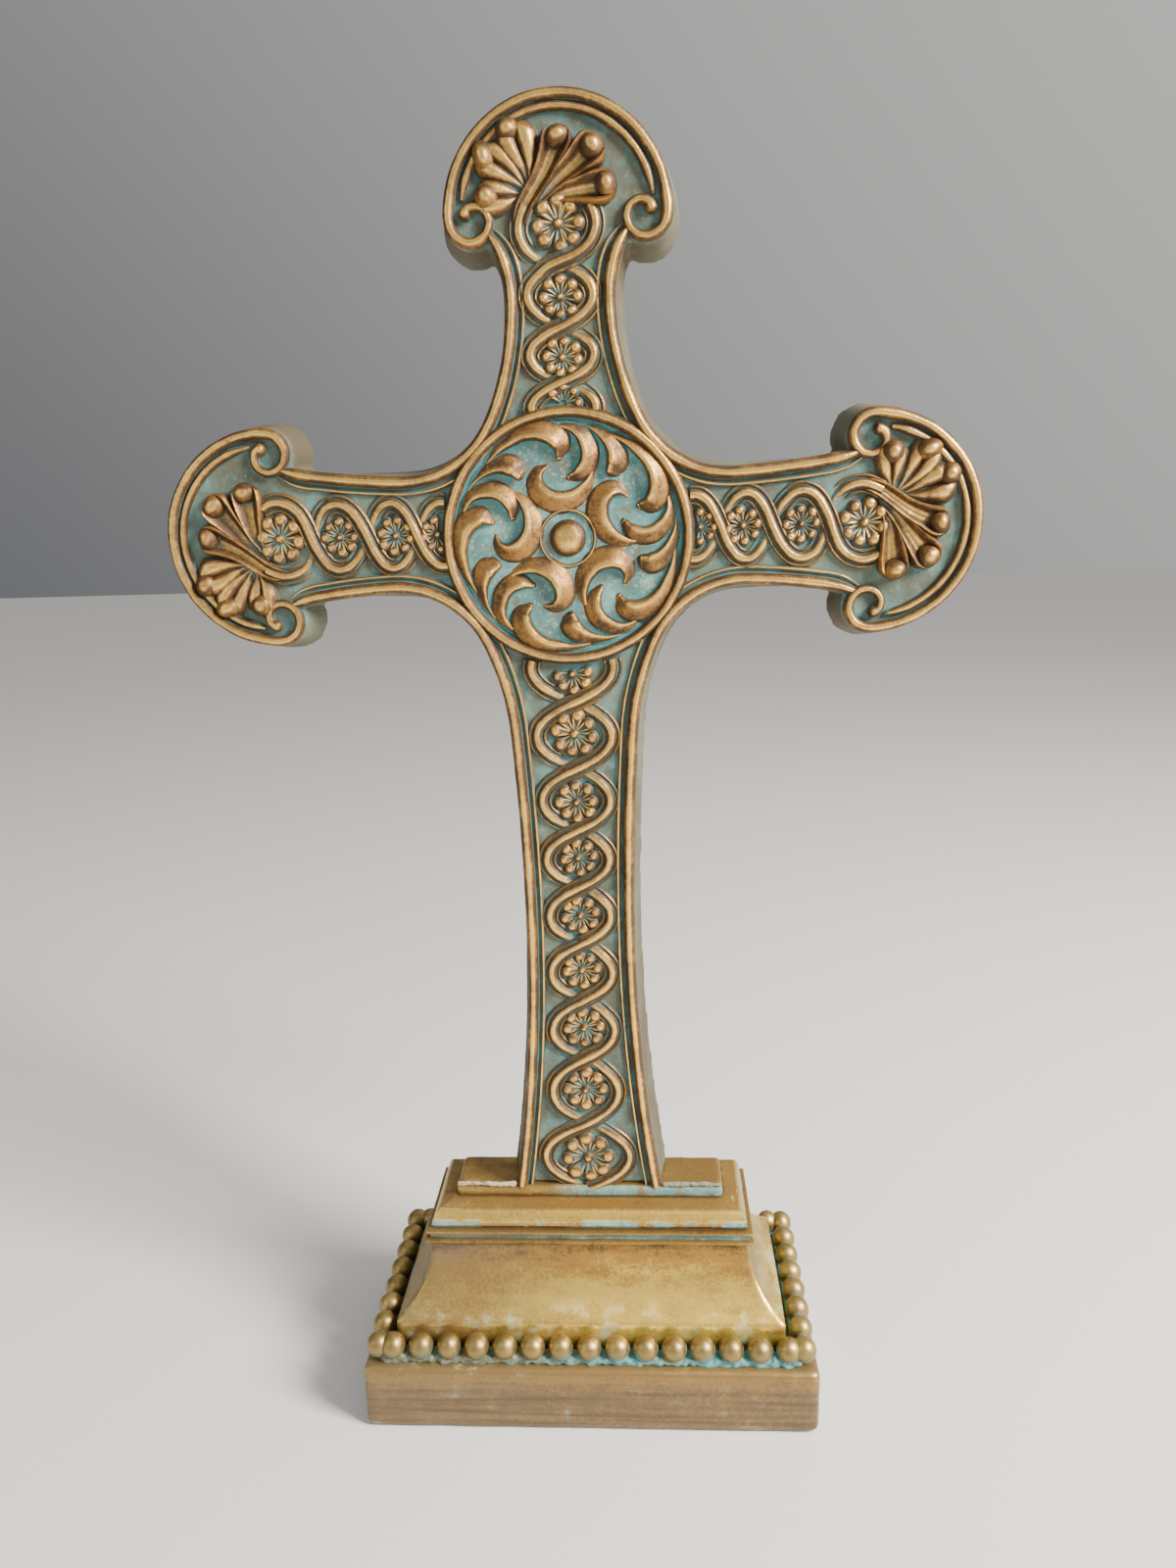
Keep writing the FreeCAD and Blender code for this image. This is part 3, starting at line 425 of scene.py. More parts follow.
# A lobe's palmette, from the last rosette's centre: fan leaves on the left, trumpets on the
# right that grow out of the strand. A leaf is its line of (x, y, half width) or (x, y, half
# width, extra lift), and its bulb of (x, y, half across, half along, lean in degrees).
FAN_LEAVES = [
    ([(-7.2, 10.6, 0.6), (-7.8, 13.6, 2.4), (-8.8, 16.6, 4.1), (-9.8, 19.4, 5.1), (-10.6, 21.6, 5.0),
      (-11.2, 23.4, 3.7), (-11.6, 24.5, 1.4)],
     (-12.4, 22.6, 3.2, 3.1, 20)),
    ([(-8.4, 9.2, 0.6), (-11.0, 11.5, 2.2), (-13.8, 13.7, 3.8), (-16.2, 15.3, 4.5), (-18.2, 16.5, 4.3),
      (-19.8, 17.5, 3.2), (-20.9, 18.2, 1.2)],
     (-18.9, 16.6, 2.9, 3.9, -15)),
    ([(-9.4, 7.3, 0.7), (-12.2, 7.0, 2.6), (-15.0, 6.8, 3.9), (-17.6, 6.8, 4.3), (-19.6, 6.9, 3.9),
      (-21.0, 7.0, 2.4)],
     (-18.6, 7.0, 3.2, 3.3, 0)),
]
TRUMPETS = [
    ([(-10.4, -1.2, 1.2, -0.9), (-9.9, 1.6, 1.8), (-8.5, 4.8, 2.1), (-6.4, 7.8, 2.3), (-4.2, 10.8, 2.5),
      (-2.4, 13.8, 2.9), (-1.0, 16.8, 3.4), (0.1, 19.2, 4.0), (0.6, 20.8, 3.9), (0.8, 22.0, 3.0),
      (0.9, 22.8, 1.4)],
     (0.6, 20.6, 3.5, 2.9, -5)),
    ([(-6.2, 4.2, 0.9), (-3.6, 6.9, 1.5), (-0.2, 10.0, 2.2), (3.2, 12.6, 2.9), (6.1, 14.9, 3.7),
      (8.4, 16.7, 4.3), (9.9, 17.9, 4.2), (11.0, 18.8, 3.2), (11.6, 19.3, 1.5)],
     (9.6, 17.9, 3.7, 3.1, 48)),
    ([(-3.6, 5.2, 0.8), (-0.8, 6.4, 1.5), (2.4, 7.2, 2.3), (5.6, 7.6, 3.0), (8.6, 7.9, 3.7),
      (11.4, 8.2, 4.0), (13.4, 8.5, 3.7), (14.8, 8.7, 2.4)],
     (13.0, 8.8, 3.6, 2.8, 80)),
]
BULB_SIZE, BULB_HEIGHT = 1.08, 4.3


def palmette():
    """A lobe's leaves. The wider a leaf, the lower it starts, as its section is taller."""
    parts = []
    for leaves, section, rise, spread in ((FAN_LEAVES, FAN, 0.95, 1.18),
                                          (TRUMPETS, TRUMPET, 1.5, 1.0)):
        for line, (x, y, across, along, lean) in leaves:
            sunk = 0.2 * max(point[2] for point in line)
            parts.append(swept([(x_at, y_at, half * spread, rise - sunk + sum(lift))
                                for x_at, y_at, half, *lift in line], section, resolution=5))
            parts.append(dome(x, y, across * BULB_SIZE, along * BULB_SIZE, BULB_HEIGHT, lean))
    return joined(parts)


# ---------- finishes

CHALK_TEAL, CHALK_DEEP = (0.20, 0.38, 0.35, 1.0), (0.065, 0.165, 0.155, 1.0)
TEAL, TURQUOISE = (0.095, 0.28, 0.28, 1.0), (0.085, 0.37, 0.40, 1.0)
# The last colour here is the near-black painted shade of the deepest hollows.
SAND, STAIN, DEEP_SHADE = (0.46, 0.38, 0.20, 1.0), (0.13, 0.095, 0.05, 1.0), (0.035, 0.055, 0.045, 1.0)
DULL_BROWN, DULL_GREEN = (0.08, 0.06, 0.03, 1.0), (0.12, 0.13, 0.085, 1.0)
UMBER, BRONZE, GOLD = (0.075, 0.038, 0.014, 1.0), (0.36, 0.19, 0.055, 1.0), (0.90, 0.58, 0.16, 1.0)
YELLOWING, DUST, OLIVE = (0.98, 1.04, 0.74, 1.0), (0.23, 0.175, 0.105, 1.0), (0.20, 0.20, 0.11, 1.0)
# The second colour here is the dark of painted shade in hollows.
BEAD_OLIVE, CREVICE_SHADE = (0.25, 0.24, 0.10, 1.0), (0.05, 0.04, 0.03, 1.0)
CRUMBS, PAINTED_CRUMBS = (0.52, 0.42, 0.30, 1.0), (0.15, 0.22, 0.18, 1.0)
CRUST_SPOTS = (0.34, 0.25, 0.14, 1.0)
FELT_GREEN, FELT_SPOTS = (0.02, 0.05, 0.03, 1.0), (0.03, 0.07, 0.04, 1.0)
STEEL_GREY, STEEL_SPOTS = (0.42, 0.41, 0.39, 1.0), (0.55, 0.54, 0.52, 1.0)
GRAIN_DEPTH = 0.0003


def feed(tree, sockets, values):
    """Gives inputs, by title or number, a number, a colour or another node's socket."""
    for name, value in values.items():
        if isinstance(value, bpy.types.NodeSocket):
            tree.links.new(value, sockets[name])
        else:
            sockets[name].default_value = value


def make_node(tree, kind, inputs=(), **settings):
    """Adds a shader node."""
    made = tree.nodes.new("ShaderNode" + kind)
    for name, value in settings.items():
        setattr(made, name, value)
    feed(tree, made.inputs, dict(inputs))
    return made


def maths(tree, operation, *values):
    """One step of arithmetic."""
    return make_node(tree, "Math", dict(enumerate(values)), operation=operation).outputs[0]


def total(tree, first, *others):
    """The sum of the values."""
    for other in others:
        first = maths(tree, "ADD", first, other)
    return first


def product(tree, first, second):
    """One value times another."""
    return maths(tree, "MULTIPLY", first, second)


def ranged(tree, value, low, high, start=0.0, end=1.0, smooth=True):
    """Carries the stretch from low to high over to start and end, and stays there beyond it."""
    made = make_node(tree, "MapRange", {"Value": value, "From Min": low, "From Max": high,
                                        "To Min": start, "To Max": end},
                     interpolation_type="SMOOTHSTEP" if smooth else "LINEAR")
    return made.outputs[0]


def swayed(tree, noise, amount):
    """Spreads a noise evenly to either side of nothing."""
    return ranged(tree, noise, 0.3, 0.7, -amount, amount, smooth=False)


def band(tree, height, start, whole, fading, end):
    """A mask that is whole between two heights and runs out past them."""
    return product(tree, ranged(tree, height, start, whole), ranged(tree, height, end, fading))


def blended(tree, share, first, second, kind="MIX"):
    """A colour that far on the way from one to another."""
    return make_node(tree, "Mix", {0: share, 6: first, 7: second}, data_type="RGBA",
                     blend_type=kind).outputs[2]


def between(tree, share, first, second):
    """A number that far on the way from one to another."""
    return make_node(tree, "Mix", {0: share, 2: first, 3: second}).outputs[0]


def noise_of(tree, place, scale, detail=4.0, rough=0.6):
    """Cloudy noise."""
    return make_node(tree, "TexNoise", {"Vector": place, "Scale": scale, "Detail": detail,
                                        "Roughness": rough}).outputs["Fac"]


def place_of(tree):
    """Where the shaded point is, in metres."""
    return make_node(tree, "TexCoord").outputs["Object"]


def parts_of(tree, vector):
    """A vector's X, Y and Z."""
    return make_node(tree, "SeparateXYZ", {0: vector}).outputs


def facing(tree):
    """X, Y and Z of the way the surface faces."""
    return parts_of(tree, make_node(tree, "NewGeometry").outputs["Normal"])


def group(name, takes, gives):
    """An empty node group, its input sockets and its way out."""
    tree = bpy.data.node_groups.new(name, "ShaderNodeTree")
    for title, value in takes.items():
        made = tree.interface.new_socket(title, in_out="INPUT", socket_type="NodeSocketFloat")
        made.default_value = value
    for title, kind in gives.items():
        tree.interface.new_socket(title, in_out="OUTPUT", socket_type="NodeSocket" + kind)
    inlet = tree.nodes.new("NodeGroupInput")
    outlet = tree.nodes.new("NodeGroupOutput")
    return tree, inlet.outputs, outlet.inputs


def wear_group():
    """How rubbed a corner is, how deep a hollow is, and the grain of the skin. The hollow mask, taken from
    occlusion, feeds both patina in hollows and painted shade.
    """
    tree, takes, gives = group("rubbing", {"Scale": 1.0, "Reach": 0.0022},
                               {"Ridge": "Float", "Hollow": "Float", "Patches": "Float", "Specks": "Float",
                                "Grain": "Float"})
    place = make_node(tree, "VectorMath", {0: place_of(tree), 3: takes["Scale"]},
                      operation="SCALE").outputs[0]
    patches = noise_of(tree, place, 110, 5, 0.62)
    specks = noise_of(tree, place, 900, 3, 0.7)
    fine = noise_of(tree, place, 2600, 2, 0.6)
    uneven = maths(tree, "MULTIPLY_ADD", patches, 0.06, -0.03)
    sharp = make_node(tree, "NewGeometry").outputs["Pointiness"]
    # occlusion: gives patina in hollows, and painted shade where a finish darkens by it
    shaded = make_node(tree, "AmbientOcclusion", {"Distance": takes["Reach"]}, samples=6).outputs["AO"]
    feed(tree, gives, {
        "Ridge": ranged(tree, total(tree, sharp, uneven), 0.515, 0.60),
        "Hollow": ranged(tree, total(tree, shaded, product(tree, uneven, 2.5)), 0.86, 0.40),
        "Patches": patches,
        "Specks": specks,
        "Grain": total(tree, product(tree, specks, 0.7), product(tree, fine, 0.3)),
    })
    return tree


def verdigris_group():
    """Turquoise patina: bright in hollows, powdery and grey-green with brown stains elsewhere, and painted
    shade that darkens the deepest hollows.
    """
    tree, takes, gives = group("verdigris", {"Patches": 0.5, "Specks": 0.5, "Hollow": 0.0, "Dullness": 0.0},
                               {"Color": "Color", "Roughness": "Float"})
    drift = noise_of(tree, place_of(tree), 38, 4, 0.6)
    base = blended(tree, ranged(tree, drift, 0.38, 0.62), CHALK_DEEP, TEAL)
    base = blended(tree, ranged(tree, takes["Patches"], 0.5, 0.68), base, CHALK_TEAL)
    base = blended(tree, ranged(tree, takes["Specks"], 0.52, 0.68, 0, 0.85), base, SAND)
    base = blended(tree, ranged(tree, takes["Patches"], 0.47, 0.34, 0, 0.75), base, STAIN)
    base = blended(tree, ranged(tree, takes["Hollow"], 0.1, 0.5, 0, 0.8), base, TURQUOISE)
    # painted shade: the deepest hollows go near black
    base = blended(tree, ranged(tree, takes["Hollow"], 0.7, 1.0, 0, 0.6), base, DEEP_SHADE)
    dull = blended(tree, ranged(tree, drift, 0.35, 0.7), DULL_BROWN, DULL_GREEN)
    feed(tree, gives, {
        "Color": blended(tree, takes["Dullness"], base, dull),
        "Roughness": ranged(tree, takes["Specks"], 0.3, 0.7, 0.72, 0.92),
    })
    return tree


def gilding_group():
    """Bronze-gold paint: brown where thin and where painted shade lowers its shine, bright where rubbed and
    where a painted highlight raises it.
    """
    tree, takes, gives = group("gilding", {"Shine": 0.5, "Patches": 0.5, "Specks": 0.5, "Mottle": 0.22},
                               {"Color": "Color", "Roughness": "Float", "Metallic": "Float"})
    mottle = product(tree, swayed(tree, takes["Patches"], 1.0), takes["Mottle"])
    shine = total(tree, takes["Shine"], mottle, swayed(tree, takes["Specks"], 0.14))
    base = blended(tree, ranged(tree, shine, 0.05, 0.45), UMBER, BRONZE)
    feed(tree, gives, {
        "Color": blended(tree, ranged(tree, shine, 0.42, 0.95), base, GOLD),
        "Roughness": ranged(tree, shine, 0.1, 1.0, 0.52, 0.3),
        "Metallic": ranged(tree, shine, 0.0, 0.5, 0.45, 0.9),
    })
    return tree


RUBBING = wear_group()
VERDIGRIS = verdigris_group()
GILDING = gilding_group()


def worn(tree, scale=1.0):
    """The wear of a surface."""
    return make_node(tree, "Group", {"Scale": scale}, node_tree=RUBBING).outputs


def coat(tree, grouped, wear, **inputs):
    """A patina or gilding with that wear."""
    return make_node(tree, "Group", {"Patches": wear["Patches"], "Specks": wear["Specks"], **inputs},
                     node_tree=grouped).outputs


def blank_material(name):
    """A new material, its tree and its shader."""
    material = bpy.data.materials.new(name)
    material.use_nodes = True
    tree = material.node_tree
    return material, tree, tree.nodes["Principled BSDF"]


def surfaced(tree, shader, base, rough, metal, height, strength):
    """Connects a finish: its colour, roughness, metal and the fine relief of its skin."""
    bump = make_node(tree, "Bump", {"Height": height, "Strength": strength, "Distance": GRAIN_DEPTH})
    feed(tree, shader.inputs, {"Base Color": base, "Roughness": rough, "Metallic": metal,
                               "Normal": bump.outputs["Normal"]})


def dullness_of(tree, place):
    """Patina is brightest round the medallion, duller on the arms, and dull on the sides and back."""
    sides = ranged(tree, parts_of(tree, place)["Y"], (FIELD - 0.1) * MM, (FIELD + 1.4) * MM, 0.0, 0.97)
    middle = Vector((0, FIELD * MM, MEDALLION * MM))
    away = make_node(tree, "VectorMath", {0: place, 1: middle}, operation="DISTANCE").outputs["Value"]
    uneven = ranged(tree, noise_of(tree, place, 160), 0.3, 0.6, 0.25, 0.8)
    return maths(tree, "MAXIMUM", sides, product(tree, ranged(tree, away, 0.033, 0.037), uneven))


def gilt_cast(name, low, high, ridge_gold):
    """Cast metal: verdigris with gilding that starts at the low lift and is whole at the high one,
    in millimetres in front of the field. Hollows hold less gilding, so the patina shows there, and get painted
    shade; gilding that faces the front gets a painted highlight."""
    material, tree, shader = blank_material(name)
    wear = worn(tree)
    place = place_of(tree)
    lift = ranged(tree, parts_of(tree, place)["Y"], FIELD * MM, (FIELD - RELIEF) * MM, smooth=False)
    # painted highlight on gilding that faces the front
    crest = ranged(tree, facing(tree)["Y"], -0.8, -0.985)
    # hollows: less gilding, so patina shows, and painted shade on the gilding that is left
    hollow = product(tree, wear["Hollow"], -0.35)
    rub = total(tree, lift, swayed(tree, wear["Patches"], 0.16), swayed(tree, wear["Specks"], 0.12), hollow)
    gold = maths(tree, "MAXIMUM", ranged(tree, rub, low / RELIEF, high / RELIEF),
                 product(tree, wear["Ridge"], ridge_gold))
    shine = total(tree, product(tree, lift, 0.12), product(tree, wear["Ridge"], 0.35),
                  product(tree, crest, 0.68), hollow)
    patina = coat(tree, VERDIGRIS, wear, Hollow=wear["Hollow"], Dullness=dullness_of(tree, place))
    gilt = coat(tree, GILDING, wear, Shine=shine)
    surfaced(tree, shader, blended(tree, gold, patina["Color"], gilt["Color"]),
             between(tree, gold, patina["Roughness"], gilt["Roughness"]),
             product(tree, gold, gilt["Metallic"]), wear["Grain"], 0.55)
    return material


# What a painter's mask can go by: the tree, the place in metres, the wear and the brush marks.
Skin = namedtuple("Skin", "tree x y z wear brush")


def painted(name, streaks, shine_of, teal_of, dust_left, dust_right):
    """Brushed bronze-gold paint on wood, with turquoise glaze where the mask says, and painted highlight and
    shade where the shine function puts them.
    """
    material, tree, shader = blank_material(name)
    wear = worn(tree)
    place = place_of(tree)
    parts = parts_of(tree, place)
    brush = noise_of(tree, make_node(tree, "Mapping", {0: place, 3: streaks}).outputs[0], 1.0, 6, 0.65)
    skin = Skin(tree, parts["X"], parts["Y"], parts["Z"], wear, brush)
    teal = teal_of(skin)
    # shine_of gives painted highlight and shade on the slab, cove and cap, and only patches on the block; the
    # brush marks and worn ridges are real tone
    shine = total(tree, shine_of(skin), swayed(tree, brush, 0.16), product(tree, wear["Ridge"], 0.45))
    gilt = coat(tree, GILDING, wear, Shine=shine, Mottle=0.1)
    patina = coat(tree, VERDIGRIS, wear)
    dust = product(tree, ranged(tree, skin.x, -0.06, 0.01, dust_left, dust_right),
                   ranged(tree, brush, 0.3, 0.6, 0.5, 1.2))
    sideways = ranged(tree, maths(tree, "ABSOLUTE", facing(tree)["X"]), 0.55, 0.9, 0.0, 0.6)
    base = blended(tree, 1.0, gilt["Color"], YELLOWING, "MULTIPLY")
    base = blended(tree, dust, base, DUST)
    base = blended(tree, sideways, base, OLIVE)
    surfaced(tree, shader, blended(tree, teal, base, patina["Color"]),
             between(tree, teal, gilt["Roughness"], patina["Roughness"]),
             product(tree, gilt["Metallic"], maths(tree, "SUBTRACT", 0.8, teal)),
             total(tree, product(tree, brush, 0.8), product(tree, wear["Grain"], 0.5)), 0.3)
    return material


def slab_painted_highlight(skin):
    """Painted highlight: brighter towards the slab's top."""
    return ranged(skin.tree, skin.z, 0.012, 0.0225, 0.16, 0.42)


def slab_teal(skin):
    """Thin glaze in patches."""
    patches = total(skin.tree, skin.wear["Patches"], product(skin.tree, skin.brush, 0.4))
    return ranged(skin.tree, patches, 0.80, 0.95, 0, 0.6)


def cove_painted_light(skin):
    """Painted light and shade: brightest low on the cove, where it turns upwards, and right of the middle,
    darker up under the cap.
    """
    away = maths(skin.tree, "ABSOLUTE", maths(skin.tree, "SUBTRACT", skin.x, 0.018))
    return total(skin.tree, ranged(skin.tree, skin.z, 0.0535, 0.037, 0.12, 0.66),
                 ranged(skin.tree, away, 0.07, 0.0, 0.0, 0.2))


def cove_teal(skin):
    """Glaze in patches at the cove's foot."""
    return product(skin.tree, ranged(skin.tree, skin.z, 0.038, 0.031),
                   ranged(skin.tree, skin.wear["Patches"], 0.5, 0.65, 0, 0.6))


# Heights on the cap, in metres: where a band starts, is whole, starts to fade and ends.
# The crest band is where the cap's painted highlight goes.
CAP_HIGHLIGHT_BAND = (0.0592, 0.0615, 0.0632, 0.0640)
CAP_QUIRK = (0.0551, 0.0553, 0.0571, 0.0573)
CAP_HOLLOW = (0.0584, 0.0588, 0.0604, 0.0616)


def cap_painted_light(skin):
    """Painted highlight on the crest and painted shade in the hollows."""
    shine = maths(skin.tree, "MULTIPLY_ADD", band(skin.tree, skin.z, *CAP_HIGHLIGHT_BAND), 0.4, 0.42)
    return total(skin.tree, shine, product(skin.tree, skin.wear["Hollow"], -0.7))


def cap_teal(skin):
    """Glaze in the quirk, stronger to the right, and in patches above it."""
    quirk = product(skin.tree, band(skin.tree, skin.z, *CAP_QUIRK),
                    ranged(skin.tree, skin.x, -0.05, 0.0, 0.5, 1.3))
    hollow = product(skin.tree, band(skin.tree, skin.z, *CAP_HOLLOW),
                     ranged(skin.tree, skin.wear["Patches"], 0.46, 0.54))
    return product(skin.tree, total(skin.tree, quirk, hollow),
                   ranged(skin.tree, skin.brush, 0.34, 0.46, 0.35, 0.95))


def block_shine(skin):
    """Patchy all over."""
    return maths(skin.tree, "MULTIPLY_ADD", skin.wear["Patches"], 0.4, 0.3)


def block_teal(skin):
    """Glaze on the right half of the block's front."""
    front = product(skin.tree, ranged(skin.tree, skin.y, -0.0070, -0.0088),
                    ranged(skin.tree, skin.x, -0.018, 0.0))
    return product(skin.tree, front, ranged(skin.tree, skin.wear["Patches"], 0.34, 0.48, 0.3, 0.9))


def bead_material():
    """Greenish gilt pearls with patina round their feet, most on the right, and a painted highlight that
    brightens the gilding towards each pearl's top.
    """
    material, tree, shader = blank_material("pearl_beads")
    wear = worn(tree)
    parts = parts_of(tree, place_of(tree))
    # painted highlight: the gilding brightens towards the pearls' tops
    gilt = coat(tree, GILDING, wear, Shine=ranged(tree, parts["Z"], 0.0235, 0.0300, 0.1, 0.62))
    patina = coat(tree, VERDIGRIS, wear, Hollow=0.5)
    uneven = total(tree, parts["Z"], swayed(tree, wear["Patches"], 0.0016))
    low = maths(tree, "MAXIMUM", ranged(tree, uneven, 0.0262, 0.0238), wear["Hollow"])
    low = product(tree, low, ranged(tree, parts["X"], -0.03, 0.02, 0.25, 0.8))
    green = blended(tree, 0.5, gilt["Color"], BEAD_OLIVE)
    surfaced(tree, shader, blended(tree, low, green, patina["Color"]),
             between(tree, low, 0.42, patina["Roughness"]),
             product(tree, gilt["Metallic"], maths(tree, "SUBTRACT", 1.0, low)), wear["Grain"], 0.25)
    return material


def crust(tree):
    """Pale crumbs on the left, painted over on the right."""
    across = parts_of(tree, place_of(tree))["X"]
    return blended(tree, ranged(tree, across, -0.012, 0.0), CRUMBS, PAINTED_CRUMBS)


def plain_material(name, base, spots, rough, metal, grain, strength, scale=1.0):
    """A mottled finish for the parts that hardly show, with painted shade darkening its hollows. Its base is a
    colour or makes one.
    """
    material, tree, shader = blank_material(name)
    wear = worn(tree, scale)
    if callable(base):
        base = base(tree)
    mixed = blended(tree, ranged(tree, wear["Patches"], 0.35, 0.65), base, spots)
    # painted shade: hollows darken towards a near-black brown
    surfaced(tree, shader, blended(tree, product(tree, wear["Hollow"], 0.6), mixed, CREVICE_SHADE),
             ranged(tree, wear["Specks"], 0.3, 0.7, rough - 0.12, min(1.0, rough + 0.1)), metal,
             wear[grain], strength)
    return material


GILT = gilt_cast("gilt_relief", 0.25, 0.85, 0.9)
SCROLL_GILT = gilt_cast("gilt_scrolls", 0.1, 0.5, 0.9)
ROSETTE_GILT = gilt_cast("gilt_rosettes", 0.4, 1.0, 1.0)
CASTING = gilt_cast("verdigris_casting", 1.2, 2.4, 0.55)
SLAB_PAINT = painted("painted_slab", (14, 30, 420), slab_painted_highlight, slab_teal, 0.5, 0.4)
COVE_PAINT = painted("painted_cove", (60, 60, 260), cove_painted_light, cove_teal, 0.5, 0.0)
CAP_PAINT = painted("painted_cap", (16, 16, 600), cap_painted_light, cap_teal, 0.25, 0.1)
BLOCK_PAINT = painted("painted_block", (60, 60, 200), block_shine, block_teal, 0.3, 0.2)
BEADS = bead_material()
PASTE = plain_material("crusty_paste", crust, CRUST_SPOTS, 0.75, 0.0, "Grain", 0.8)
FELT = plain_material("green_felt", FELT_GREEN, FELT_SPOTS, 0.95, 0.0, "Specks", 0.8, 2.0)
STEEL = plain_material("plated_steel", STEEL_GREY, STEEL_SPOTS, 0.35, 1.0, "Grain", 0.15)


# ---------- the cross

def cast_copy(node, voxel, grain, strength):
    """The node's own shape, recast as an even skin."""
    pick(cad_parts[node])
    bpy.ops.object.duplicate(linked=False)
    twin = bpy.context.object
    for key in list(twin.keys()):
        del twin[key]
    twin.parent = None
    bpy.ops.object.mode_set(mode="EDIT")
    bpy.ops.mesh.select_all(action="SELECT")
    bpy.ops.mesh.remove_doubles(threshold=0.00001)
    bpy.ops.object.mode_set(mode="OBJECT")
    return recast(twin, voxel, grain, strength)


def build_cross():
    """The casting, its edge mouldings and the medallion."""
    finished(cast_copy("cross_body", 0.0010, grain=0.006, strength=0.0004), "cross_body_cast",
             CASTING, ["cross_body"])
    disc = dome(0, 0, 32.6, 32.6, 0.9, sides=96, rings=24)
    finished(lumps(stood_up(disc, 0, MEDALLION), grain=0.004, strength=0.0003), "medallion_disc_cast",
             CASTING, ["medallion_disc"])
    for place, corners in (("lower", LOWER_EDGE), ("upper", UPPER_EDGE)):
        for side in ("left", "right"):
            line = stood_up(edge_moulding(corners, side == "left"), 0, 0)
            finished(lumps(line, grain=0.007, strength=0.0003), f"edge_{place}_{side}_roll", GILT,
                     [f"edge_{place}_{side}"])
    ring = stood_up(swept([bearing((0, 0), RING, 10 * step) for step in range(36)], RING_ROLL, closed=True,
                          resolution=6), 0, MEDALLION)
    finished(lumps(ring, grain=0.006, strength=0.0003), "medallion_ring_roll", GILT,
             ["medallion_ring"])
    first = whorl()
    parts = [copied(first, Matrix.Rotation(math.radians(-72 * step), 4, "Z")) for step in range(1, 5)]
    scrolls = stood_up(joined([first] + parts), 0, MEDALLION)
    finished(lumps(scrolls, grain=0.005, strength=0.0003), "medallion_scrolls_leaves", SCROLL_GILT,
             ["medallion_scrolls"])
    collar = [(*bearing((0, 0), 7.7, 20 * step), 0.62) for step in range(18)]
    boss = joined([dome(0, 0, 5.4, 5.4, 3.2, sides=40, rings=20), swept(collar, EYE_ROLL, closed=True)])
    finished(lumps(stood_up(boss, 0, MEDALLION), grain=0.005, strength=0.0002), "medallion_boss_dome",
             SCROLL_GILT, ["medallion_boss"])


# The last bends of the two strands, from the last rosette's centre, by the side they swing to.
TAILS = {
    1: [(3.2, -11.1), (-0.4, -10.0), (-4.2, -9.0), (-7.6, -7.2), (-9.8, -4.3), (-10.5, -1.2), (-10.0, 1.6),
        (-8.6, 4.6)],
    -1: [(-3.3, -10.6), (0.4, -9.1), (4.4, -7.6), (7.9, -5.2), (9.8, -1.8), (9.9, 1.2), (8.7, 4.2)],
}


def build_arms():
    """Each arm's guilloche and rosettes."""
    petal = petal_model()
    ball = dome(0, 0, 0.21, 0.21, 2.1, sides=16, rings=10)
    for index, (name, (turn, rise)) in enumerate(ARMS.items()):
        kind = name if name in ("upper", "lower") else "side"
        places, crossings = ROSETTES[kind], CROSSINGS[kind]
        if kind == "lower":
            ends = {way: [(0, crossings[-1][0])] for way in TAILS}
        else:
            ends = {way: [(x, places[-1][0] + y) for x, y in tail] for way, tail in TAILS.items()}
        lines = strand_lines(crossings, ends)
        guilloche = stood_up(joined([swept(line, STRAND, resolution=3) for line in lines]), turn, rise)
        finished(lumps(guilloche, grain=0.005, strength=0.0003), f"guilloche_{name}_strands", GILT,
                 [f"guilloche_{name}"])
        flowers = stood_up(rosettes(places, petal, ball, 11 + index), turn, rise)
        finished(lumps(flowers, grain=0.003, strength=0.0002), f"rosettes_{name}_petals", ROSETTE_GILT,
                 [f"rosettes_{name}"])
    bpy.data.objects.remove(petal)
    bpy.data.objects.remove(ball)


def build_lobes():
    """Each lobe's rim and palmette."""
    rim = lobe_rim()
    leaves = palmette()
    for name, (turn, rise) in LOBES.items():
        edge = stood_up(copied(rim, Matrix.Translation((0, LOBE_REACH, 0))), turn, rise)
        finished(lumps(edge, grain=0.006, strength=0.0003), f"lobe_rim_{name}_roll", GILT,
                 [f"lobe_rim_{name}"])
        kind, middle = ("upper", MEDALLION) if name == "top" else ("side", ARM)
        last = ROSETTES[kind][-1][0]
        fan = stood_up(copied(leaves, Matrix.Translation((0, last, 0))), turn, middle)
        finished(lumps(fan, grain=0.005, strength=0.0004), f"palmette_{name}_leaves", SCROLL_GILT,
                 [f"palmette_{name}"])
    bpy.data.objects.remove(rim)
    bpy.data.objects.remove(leaves)


# ---------- the plinth

def brick(x, y, z, half_x, half_y, half_z):
    """A plain block round a point, from millimetres."""
    bpy.ops.object.select_all(action="DESELECT")
    bpy.ops.mesh.primitive_cube_add(size=2, location=(x * MM, y * MM, z * MM),
                                    scale=(half_x * MM, half_y * MM, half_z * MM))
    return settle(bpy.context.object)


